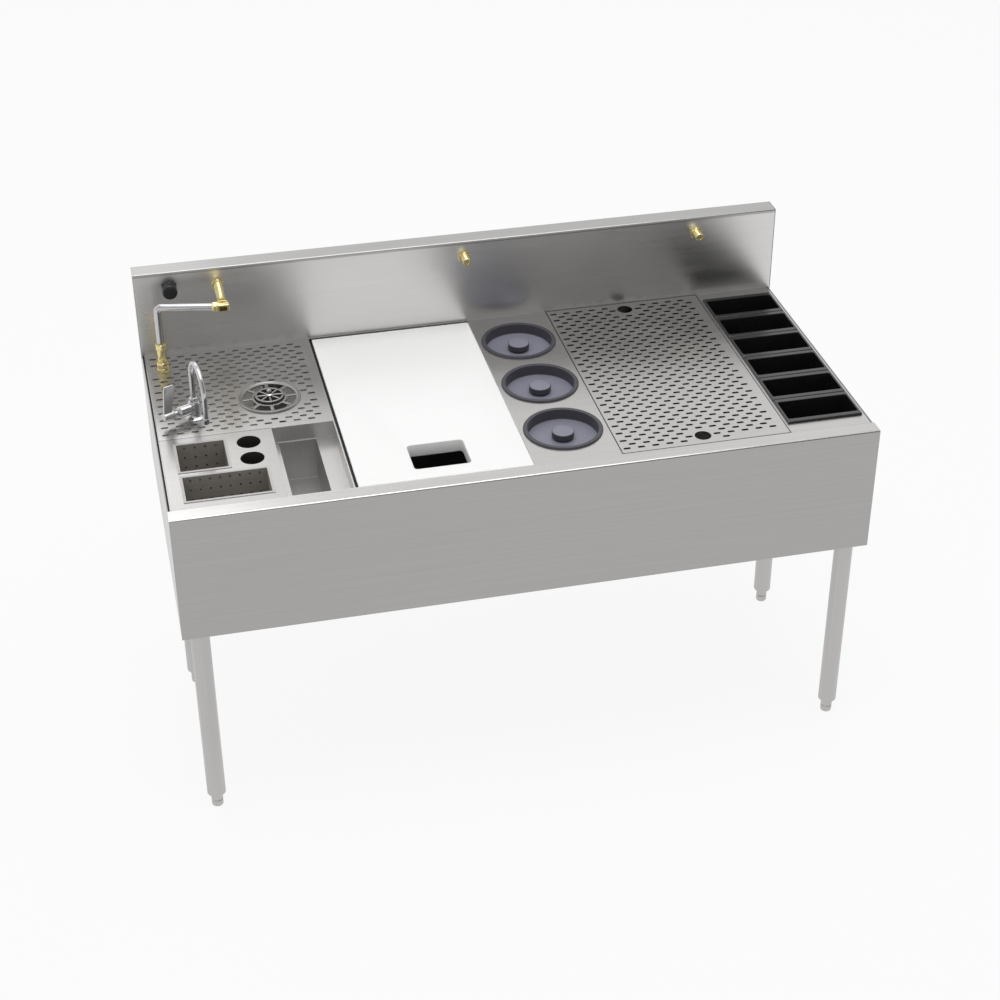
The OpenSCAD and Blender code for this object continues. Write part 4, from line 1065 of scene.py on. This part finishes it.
@dataclass
class Faucet:
    """Deck faucet: flange and body, swivelling gooseneck and a lever with an upright blade."""

    tube: float = 6 * MM
    thinning: float = 0.10
    reach: float = 108 * MM
    outlet: float = 42 * MM
    collar_z: float = 41.3 * MM
    turn: float = math.radians(9)
    side: float = math.radians(25)
    body_r: float = 14 * MM
    flange_r: float = 22 * MM
    lever_z: float = 24 * MM
    boss: tuple[float, float] = (13 * MM, 42 * MM)
    neck: float = 8 * MM
    hub: tuple[float, float] = (9.5 * MM, 27 * MM)
    pin: tuple[float, float] = (4.75 * MM, 5.8 * MM)
    blade: tuple[float, float, float] = (27 * MM, 73 * MM, 5 * MM)
    deck: float = field(init=False, default=0.0)
    foot: Vector = field(init=False, default_factory=Vector)
    outward: Vector = field(init=False, default_factory=Vector)

    def build(self) -> None:
        """Makes the three pieces."""
        body, r = Extent.of("faucet_body"), self.flange_r
        self.deck = Extent.of("faucet_panel").high.z
        self.foot = Vector((body.high.x - r, body.high.y - r, self.deck))
        self.outward = Vector((-math.cos(self.side), -math.sin(self.side), 0))
        self.body()
        self.spout()
        self.lever()

    def body(self) -> None:
        """Turns the flange, the column, the lever's boss and the shank."""
        whole = Extent.of("faucet_body")
        r, top, seat = self.body_r, whole.high.z - self.deck, self.tube + 0.5 * MM
        points = [
            (0, -2 * MM), (r, -2 * MM), (r, 0), (self.flange_r, 0), (self.flange_r, 2 * MM),
            (r + 2 * MM, 5 * MM), (r, 8 * MM), (r, top - 5 * MM), (r - 3 * MM, top),
            (seat, top), (seat, top - 6 * MM), (0, top - 6 * MM),
        ]
        radii = mm(0, 0, 0.4, 1.2, 3, 3, 2, 1.5, 0.5, 0)
        blank = Blank()
        blank.turn(profile(points, radii, 5), self.foot, steps=72)
        wide, reach = self.boss
        valve = [(0, 0), (wide, 0), (wide, reach - 6 * MM), (wide - 4 * MM, reach), (0, reach)]
        at = self.foot + above(self.lever_z)
        blank.turn(profile(valve, mm(0, 4, 2), 6), at, self.outward, 56)
        low = whole.low.z - self.deck
        step = under_pan(self.deck)
        shank = [(0, low), (5.5 * MM, low), (5.5 * MM, step), (7 * MM, step), (7 * MM, 0), (0, 0)]
        blank.turn(shank, self.foot, steps=32)
        blank.piece("faucet_column", CHROME, "stand", ["faucet_body"])

    def spout(self) -> None:
        """Bends the gooseneck and adds its collar and aerator."""
        whole = Extent.of("faucet_spout")
        r, bend, low = self.tube, self.reach / 2, whole.low.z
        ahead = Vector((math.sin(self.turn), -math.cos(self.turn), 0))
        crown = whole.high.z - r - bend
        outlet = self.outlet + self.deck
        foot = Vector((self.foot.x, self.foot.y, 0))
        tip = foot + ahead * self.reach
        path = [foot + above(low + (crown - low) * i / 6) for i in range(7)]
        middle = foot + ahead * bend + above(crown)
        for i in range(1, 33):
            angle = math.pi * i / 32
            path.append(middle - ahead * bend * math.cos(angle) + above(bend * math.sin(angle)))
        path += [tip + above(crown - (crown - outlet) * i / 5) for i in range(1, 6)]
        count = len(path)
        share = [max(0.0, (i - 7) / (count - 8)) for i in range(count)]
        radii = [r * (1.0 - self.thinning * part) for part in share]
        blank = Blank()
        blank.sweep(path, radii, 36)
        collar = [
            (r - 1 * MM, 0), (r + 2.4 * MM, 0), (r + 4 * MM, 3 * MM), (r + 4 * MM, 6 * MM),
            (r + 1.2 * MM, 9 * MM), (r - 1 * MM, 9 * MM),
        ]
        blank.turn(profile(collar, mm(0.6, 1, 1, 1)), foot + above(self.deck + self.collar_z))
        ring = [
            (r - 1.5 * MM, 0), (r * 1.2, 0), (r * 1.2, 11 * MM), (r * 0.95, 13 * MM),
            (r * 0.8, 13 * MM),
        ]
        blank.turn(profile(ring, mm(0.8, 0.8, 0.4)), tip + above(outlet), steps=48)
        blank.piece("gooseneck", CHROME, "faucet_spout", ["faucet_spout"])

    def lever(self) -> None:
        """Turns the hub and its pin, and shapes the upright blade."""
        at = self.foot + above(self.lever_z)
        wide, long = self.hub
        start = self.boss[1] + self.neck
        blank = Blank()
        hub = [(0, start), (wide, start), (wide, start + long), (0, start + long)]
        blank.turn(profile(hub, mm(1, 1.5)), at, self.outward, 56)
        inner, step = start - self.neck - 14 * MM, start - self.neck + 0.3 * MM
        thin, stout = self.pin
        pin = [(0, inner), (thin, inner), (thin, step), (stout, step), (stout, start), (0, start)]
        blank.turn(pin, at, self.outward, 36)
        w, high, thick = self.blade
        end, lean = start + long, high * 0.1
        shape = [(end, 0), (end - lean, high), (end - lean - w, high), (end - 0.7 * w, 0)]
        middle = Vector((end - lean / 2 - w / 2, high / 2))
        outline = [(x - middle.x, y - middle.y) for x, y in rounded(shape, mm(0.5, 5, 5, 0.5), 6)]
        # Distance from the blade's middle in thicknesses, and the outline's scale there
        half = [(0.15, 1.0), (0.36, 0.985), (0.5, 0.95)]
        layers = [(thick * -h, s) for h, s in reversed(half)] + [(thick * h, s) for h, s in half]
        centre = at + self.outward * middle.x + above(middle.y)
        blank.pull(outline, centre, layers, self.outward, UP)
        blank.piece("lever_handle", SATIN_CHROME, "faucet_lever", ["faucet_lever"])


@dataclass
class GlassRinser:
    """Tray with windows, cup below, and a star that a glass pushes down."""

    spokes: int = 8
    flange: float = 7 * MM
    tray: float = 3 * MM
    cup: float = 37 * MM
    guide: float = 9.6 * MM
    depth: float = 46 * MM
    star: float = 32 * MM
    at: Vector = field(init=False, default_factory=Vector)

    def build(self) -> None:
        """Makes the tray, the cup and the star."""
        tray = Extent.of("rinser_tray")
        self.at = tray.axis + above(tray.low.z)
        self.dish()
        self.well()
        self.spray()

    def dish(self) -> None:
        """Builds the tray: a rolled rim, bars between its windows and an inner ring."""
        r, t, at = Extent.of("rinser_tray").size.x / 2, self.tray, self.at
        outer, inner = r - self.flange - 3 * MM, self.cup - self.flange / 2
        blank = Blank()
        rim = [
            (outer, 0), (r, 0), (r, t), (r - 1.2 * MM, t * 1.5), (r - 3 * MM, t * 1.5),
            (r - 4.5 * MM, t), (outer, t * 0.9),
        ]
        radii = mm(0.3, 0.3, 0.8, 0.6, 0.6, 0.8, 0.5)
        blank.turn(rounded(rim, radii, 3), at, steps=96, closed=True)
        hub = [(inner, 0), (self.cup + 2 * MM, 0), (self.cup + 2 * MM, t * 0.9), (inner, t)]
        blank.turn(rounded(hub, 0.5 * MM, 3), at, steps=96, closed=True)
        for angle in turns(self.spokes):
            self.bar(blank, angle, (self.cup, outer + 1.5 * MM), 8 * MM, (0.2 * t, 0.9 * t))
        blank.piece("rinser_grid", RINSER_STEEL, "stand", ["rinser_tray"])

    def bar(
        self, blank: Blank, angle: float, reach: tuple[float, float], wide: float,
        levels: tuple[float, float],
    ) -> None:
        """Adds a radial bar with rounded edges.

        Args:
            blank: The piece in the making.
            angle: Its direction.
            reach: Its inner and outer end.
            wide: Its width.
            levels: Its lower and upper face.
        """
        out = around(1, angle)
        side = Vector((-out.y, out.x, 0))
        h = (levels[1] - levels[0]) / 2
        section = round_box(wide, 2 * h, min(wide, 2 * h) * 0.3, 3)
        loops = []
        for end in reach:
            start = self.at + out * end
            loops.append([start + side * x + above(levels[0] + h + y) for x, y in section])
        blank.loft(loops)

    def well(self) -> None:
        """Turns the cup below the tray and its supply tube."""
        whole, at = Extent.of("rinser_cup"), self.at
        guide, bore, pipe, wall = self.guide, 6.1 * MM, 8.1 * MM, 1.5 * MM
        low, bottom, floor = whole.low.z - at.z, -self.depth, -self.depth + wall
        step = under_pan(at.z)
        points = [
            (bore, low), (pipe, low), (pipe, step), (guide, step), (guide, bottom),
            (self.cup, bottom), (self.cup, 0), (self.cup - wall, 0), (self.cup - wall, floor),
            (bore, floor),
        ]
        radii = mm(0.3, 0.3, 0.3, 0.3, 1, 6, 0.3, 0.3, 4.5, 0.3)
        blank = Blank()
        blank.turn(rounded(points, radii, 5), at, steps=72, closed=True)
        blank.piece("rinser_bowl", RINSER_STEEL, "stand", ["rinser_cup"])

    def spray(self) -> None:
        """Builds the star, its stem and the nozzle."""
        whole, at = Extent.of("rinser_star"), self.at
        high, foot = whole.high.z - at.z, whole.low.z - at.z
        plate = high - 14 * MM
        low = plate - 4 * MM
        r, ring = self.star, self.star / 7
        blank = Blank()
        band = [(r - ring, low), (r, low), (r, plate), (r - ring, plate)]
        blank.turn(rounded(band, 1.3 * MM, 4), at, steps=80, closed=True)
        for angle in turns(self.spokes):
            self.bar(blank, angle, (5 * MM, r - ring / 2), ring, (low, plate))
        stem = [
            (0, foot), (6 * MM, foot), (6 * MM, low), (9 * MM, low), (9 * MM, plate + 1.6 * MM),
            (5.5 * MM, plate + 3.5 * MM), (5.5 * MM, high - 3 * MM), (3 * MM, high), (0, high),
        ]
        blank.turn(profile(stem, mm(0.5, 0.5, 0.5, 1, 1.5, 1.5, 1)), at, steps=48)

        def crown(spot: Vector) -> bool:
            """Whether a face is on the nozzle above the star."""
            return spot.z > at.z + plate + 1 * MM

        patch = (CHROME, crown)
        blank.piece("rinser_sprayer", RINSER_STEEL, "rinser_star", ["rinser_star"], patch=patch)


@dataclass
class WaterSupply:
    """Brass fittings, the chrome riser and the black plug on the splash."""

    nipple: float = 9.5 * MM
    nut_flats: float = 27 * MM
    nut_thick: float = 9 * MM
    inner_nut: float = 10.5 * MM
    tube: float = 8 * MM
    bend: float = 11 * MM
    elbow_size: tuple[float, float, float] = (29.7 * MM, 21.4 * MM, 18.4 * MM)
    pitch: float = 1.8 * MM
    thread_depth: float = 0.7 * MM
    splash: float = field(init=False, default=0.0)
    foot: Vector = field(init=False, default_factory=Vector)
    corner: Vector = field(init=False, default_factory=Vector)

    def thread(self, radius: float, start: float, end: float) -> Outline:
        """The profile of a threaded length.

        Args:
            radius: Its outer radius.
            start: Where it starts along the axis.
            end: Where it ends.

        Returns:
            Crests and roots as radius and place.
        """
        count = max(1, int(abs(end - start) / self.pitch))
        step = (end - start) / count
        made: Outline = []
        for i in range(count):
            made += [
                (radius - self.thread_depth, start + i * step),
                (radius, start + (i + 0.45) * step),
                (radius, start + (i + 0.6) * step),
            ]
        return made + [(radius - self.thread_depth, end)]

    def build(self) -> None:
        """Makes the fittings."""
        self.splash = Extent.of("backsplash").low.y
        tube, elbow = Extent.of("riser_tube"), Extent.of("riser_elbow")
        level = tube.high.z - self.tube
        self.foot = Vector((tube.low.x + self.tube, tube.high.y - self.tube, level))
        across = self.nut_flats / math.cos(math.pi / 6)
        middle = elbow.low.y + self.elbow_size[1] / 2
        self.corner = Vector((elbow.high.x - across / 2, middle, level))
        self.elbow()
        self.riser()
        self.coupling()
        self.stubs()
        self.plug()

    def elbow(self) -> None:
        """The nipple out of the splash, its nut, the elbow and the compression nut."""
        whole, splash = Extent.of("riser_elbow"), self.splash
        wide, deep, high = self.elbow_size
        wall = Vector((self.corner.x, splash, whole.high.z - self.nut_flats / 2))
        out = splash - self.corner.y - deep / 2
        back = splash - whole.high.y
        collar = out - 13 * MM
        blank = Blank()
        nipple = [(0, back), (self.nipple, back), (self.nipple, self.nut_thick)]
        nipple += self.thread(self.nipple, self.nut_thick, collar)
        nipple += [(self.nipple + 1 * MM, collar), (self.nipple + 1 * MM, out), (0, out)]
        blank.turn(nipple, wall, FRONT, 48)
        blank.hexagon(wall, FRONT, self.nut_flats, self.nut_thick, self.nipple - 1 * MM)
        # Depth and scale: chamfered at both ends, with a recess in the front
        layers = [
            (0, 0.9), (1.2 * MM, 0.97), (2.5 * MM, 1), (deep - 2.5 * MM, 1),
            (deep - 1.2 * MM, 0.97), (deep, 0.9), (deep, 0.55), (deep - 4 * MM, 0.5),
        ]
        start = self.corner + Vector((0, deep / 2, 0))
        blank.pull(round_box(wide, high, 3.5 * MM, 4), start, layers, RIGHT, UP)
        ahead = (self.foot - self.corner).normalized()
        nut = self.corner + ahead * (wide / 2 - 3 * MM)
        blank.hexagon(nut, ahead, 19 * MM, self.nut_thick + 2.6 * MM, 7.9 * MM)
        face = self.corner.y - deep / 2

        def recess(spot: Vector) -> bool:
            """Whether a face is inside the recess of the elbow's front, which is painted shade."""
            inside = abs(spot.x - self.corner.x) < wide * 0.28
            inside = inside and abs(spot.z - self.corner.z) < high * 0.28
            return inside and face + 1 * MM < spot.y < face + 5 * MM

        blank.piece("brass_elbow", BRASS, "stand", ["riser_elbow"], patch=(RECESS_SHADE_BRASS, recess))

    def riser(self) -> None:
        """Bends the chrome tube."""
        run = self.corner - self.foot
        level = run.length - self.elbow_size[0] / 2 - self.nut_thick
        ahead, bend = run.normalized(), self.bend
        path = [self.foot + ahead * (level + (bend - level) * i / 8) for i in range(9)]
        for i in range(1, 17):
            angle = math.pi / 2 * i / 16
            near, down = bend * (1 - math.sin(angle)), bend * (1 - math.cos(angle))
            path.append(self.foot + ahead * near - above(down))
        drop = self.foot.z - Extent.of("riser_tube").low.z - bend
        path += [self.foot - above(bend + drop * i / 6) for i in range(1, 7)]
        blank = Blank()
        blank.sweep(path, [self.tube] * len(path), 40)
        blank.piece("chrome_riser", CHROME, "stand", ["riser_tube"])

    def coupling(self) -> None:
        """The coupling on the panel: two nuts, a barrel, the top nut and the pipe below."""
        whole = Extent.of("riser_coupling")
        deck = Extent.of("faucet_panel").high.z
        at = Vector((self.foot.x, self.foot.y, deck))
        high, low = whole.high.z - deck, whole.low.z - deck
        step = under_pan(deck)
        blank = Blank()
        points = [(0, low), (6.5 * MM, low), (6.5 * MM, step), (8 * MM, step), (8 * MM, 0)]
        points += [(9.5 * MM, 0), (9.5 * MM, 25 * MM)]
        points += self.thread(10 * MM, 25 * MM, 32 * MM)
        points += [(9.8 * MM, 33 * MM), (9.8 * MM, high - 13 * MM), (0, high - 13 * MM)]
        blank.turn(points, at, steps=48)
        for level, flats, thick, bore in (
            (0, 27, 10, 8),
            (10.6 * MM, 26, 14, 8),
            (high - 14 * MM, 23.5, 14, 7.9),
        ):
            blank.hexagon(at + above(level), UP, flats * MM, thick * MM, bore * MM)
        blank.piece("brass_coupling", BRASS, "stand", ["riser_coupling"])

    def stubs(self) -> None:
        """The two stubs on the splash, closed at their ends."""
        whole, splash = Extent.of("supply_stubs"), self.splash
        z = whole.middle.z
        half = self.nut_flats / 2 / math.cos(math.pi / 6)
        nut = self.nut_flats, self.nut_thick, self.nipple - 1 * MM
        tip, back = splash - whole.low.y, splash - whole.high.y
        blank = Blank()
        for x in (whole.low.x + half, whole.high.x - half):
            at = Vector((x, splash, z))
            points = [(0, back), (self.nipple, back), (self.nipple, self.nut_thick)]
            points += self.thread(self.nipple, self.nut_thick + 1 * MM, tip - 2 * MM)
            points += [(self.nipple - 1.5 * MM, tip), (6.3 * MM, tip)]
            points += [(5.8 * MM, tip - 2 * MM), (0, tip - 2 * MM)]
            blank.turn(points, at, FRONT, 48)
            blank.hexagon(at, FRONT, *nut)
            blank.hexagon(at - FRONT * self.inner_nut, -FRONT, *nut)
        blank.piece("brass_stubs", BRASS, "stand", ["supply_stubs"])

    def plug(self) -> None:
        """The black plug: a six-sided flange and a plain cap."""
        whole, splash = Extent.of("wall_plug"), self.splash
        r, out = whole.size.x / 2, splash - whole.low.y
        at = Vector((whole.middle.x, splash, whole.middle.z))
        flange, shank, cap, back = 9 * MM, 9 * MM, r * 0.9, splash - whole.high.y
        blank = Blank()
        blank.hexagon(at, FRONT, 2 * r * math.cos(math.pi / 6), flange)
        points = [
            (0, back), (shank, back), (shank, flange), (cap - 1.5 * MM, flange),
            (cap, flange + 2 * MM), (cap * 0.97, out), (0, out),
        ]
        blank.turn(profile(points, mm(0.5, 0, 0.5, 1, 2.5), 5), at, FRONT, 64)
        blank.piece("black_cap", PLUG_PLASTIC, "stand", ["wall_plug"])


@dataclass(frozen=True)
class SoftBox:
    """A rectangular lamp: where it hangs and points, its width and height, and its power."""

    name: str
    at: tuple[float, float, float]
    towards: tuple[float, float, float]
    size: tuple[float, float]
    watts: float

    def build(self) -> None:
        """Hangs the lamp."""
        data = bpy.data.lights.new(self.name, "AREA")
        data.shape = "RECTANGLE"
        data.size, data.size_y = self.size
        data.energy = self.watts
        made = bpy.data.objects.new(self.name, data)
        made.location = self.at
        way = Vector(self.towards) - Vector(self.at)
        made.rotation_euler = way.to_track_quat("-Z", "Y").to_euler()
        bpy.context.scene.collection.objects.link(made)


@dataclass
class Studio:
    """Floor, world, camera and lamps: a weak one behind the left end, a wide one above."""

    eye: Vector = field(default_factory=lambda: Vector((-0.8494, -3.7114, 2.9613)))
    aim: tuple[float, float, float] = (57.015, 0.204, -13.124)
    lens: float = 70.47
    sensor: float = 36.0
    sight: float = 200.0
    sky: float = 0.56
    front_left: float = 0.65
    front_right: float = 0.25
    left_to_right: tuple[float, float] = (-0.05, 0.2)
    front_to_back: tuple[float, float] = (-0.45, 0.25)
    floor_half: float = 30.0
    floor_white: float = 0.9
    floor_paint: Colour = (0.88, 0.88, 0.88)
    lamps: tuple[SoftBox, ...] = (
        SoftBox("rear_box", (-1.4, 3.9, 3.9), (0, 0, 0.8), (2.5, 1.8), 15),
        SoftBox("top_box", (0, -0.2, 4.2), (0, -0.2, 0.8), (3.0, 3.0), 62),
    )

    def build(self) -> None:
        """Sets the scene around the object."""
        self.camera()
        self.floor()
        self.world()
        for lamp in self.lamps:
            lamp.build()
        bpy.context.scene.view_settings.view_transform = "Standard"

    def camera(self) -> None:
        """Places the camera where the photograph was taken from."""
        data = bpy.data.cameras.new("camera")
        data.lens = self.lens
        data.sensor_width = self.sensor
        data.clip_end = self.sight
        made = bpy.data.objects.new("camera", data)
        made.location = self.eye
        made.rotation_euler = Euler([math.radians(a) for a in self.aim])
        bpy.context.scene.collection.objects.link(made)
        bpy.context.scene.camera = made

    def seen(self, board: Board) -> Wire:
        """1 where a camera, glossy or transmitted ray arrives, and else 0."""
        kinds = ("Is Camera Ray", "Is Glossy Ray", "Is Transmission Ray")
        camera, glossy, clear = (board.node("ShaderNodeLightPath", output=k) for k in kinds)
        return camera.most(glossy).most(clear)

    def floor(self) -> None:
        """A pale floor that keeps a soft shadow."""
        h = self.floor_half
        corners = [(-h, -h, 0), (h, -h, 0), (h, h, 0), (-h, h, 0)]
        data = bpy.data.meshes.new("floor")
        data.from_pydata(corners, [], [(0, 1, 2, 3)])
        made = bpy.data.objects.new("floor", data)
        bpy.context.scene.collection.objects.link(made)
        material = bpy.data.materials.new("floor_paint")
        material.use_nodes = True
        board = Board(material.node_tree)
        paint = board.node("ShaderNodeBsdfDiffuse", {}, {"Color": (*self.floor_paint, 1)})
        glow = board.node("ShaderNodeEmission", {}, {"Color": WHITE, "Strength": 1.0})
        share = self.seen(board) * self.floor_white
        both = board.node("ShaderNodeMixShader", {}, {0: share, 1: paint, 2: glow})
        board.node_end("ShaderNodeOutputMaterial", both)
        data.materials.append(material)

    def world(self) -> None:
        """A white room: plain light on the object, white where it is seen, darker in front.

        The steel mirrors the room, so its front half is kept darker for glossy rays alone.
        """
        world = bpy.data.worlds.new("room")
        world.use_nodes = True
        board = Board(world.node_tree)
        way = board.node("ShaderNodeTexCoord", output="Generated")
        right = board.node("ShaderNodeSeparateXYZ", {}, {0: way}, 0).ramp(*self.left_to_right)
        back = board.node("ShaderNodeSeparateXYZ", {}, {0: way}, 1).ramp(*self.front_to_back)
        glossy = board.node("ShaderNodeLightPath", output="Is Glossy Ray")
        camera = board.node("ShaderNodeLightPath", output="Is Camera Ray")
        front = right * (self.front_right - self.front_left) + self.front_left
        room = back * (1.0 - front) + front
        strength = camera + glossy * room + (1.0 - camera.most(glossy)) * self.sky
        rim_tint = board.node("ShaderNodeBackground", {}, {"Color": WHITE, "Strength": strength})
        board.node_end("ShaderNodeOutputWorld", rim_tint)
        bpy.context.scene.world = world


def corners(box: tuple[Vector, Vector]) -> list[list[float]]:
    """A box as plain lists of numbers."""
    return [list(corner) for corner in box]


def main() -> None:
    """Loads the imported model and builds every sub-assembly."""
    logging.basicConfig(level=logging.INFO, format="%(name)s: %(message)s")
    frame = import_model()
    dresser = Dresser(frame["nodes"])
    SteelBody().build(dresser)
    Legs().build(dresser)
    IceBinLid().build()
    EdgeAndShadeStrips().build()
    Crocks().build()
    BottleWells().build()
    Faucet().build()
    GlassRinser().build()
    WaterSupply().build()
    Studio().build()
    bpy.context.view_layer.update()


if __name__ == "__main__":
    main()
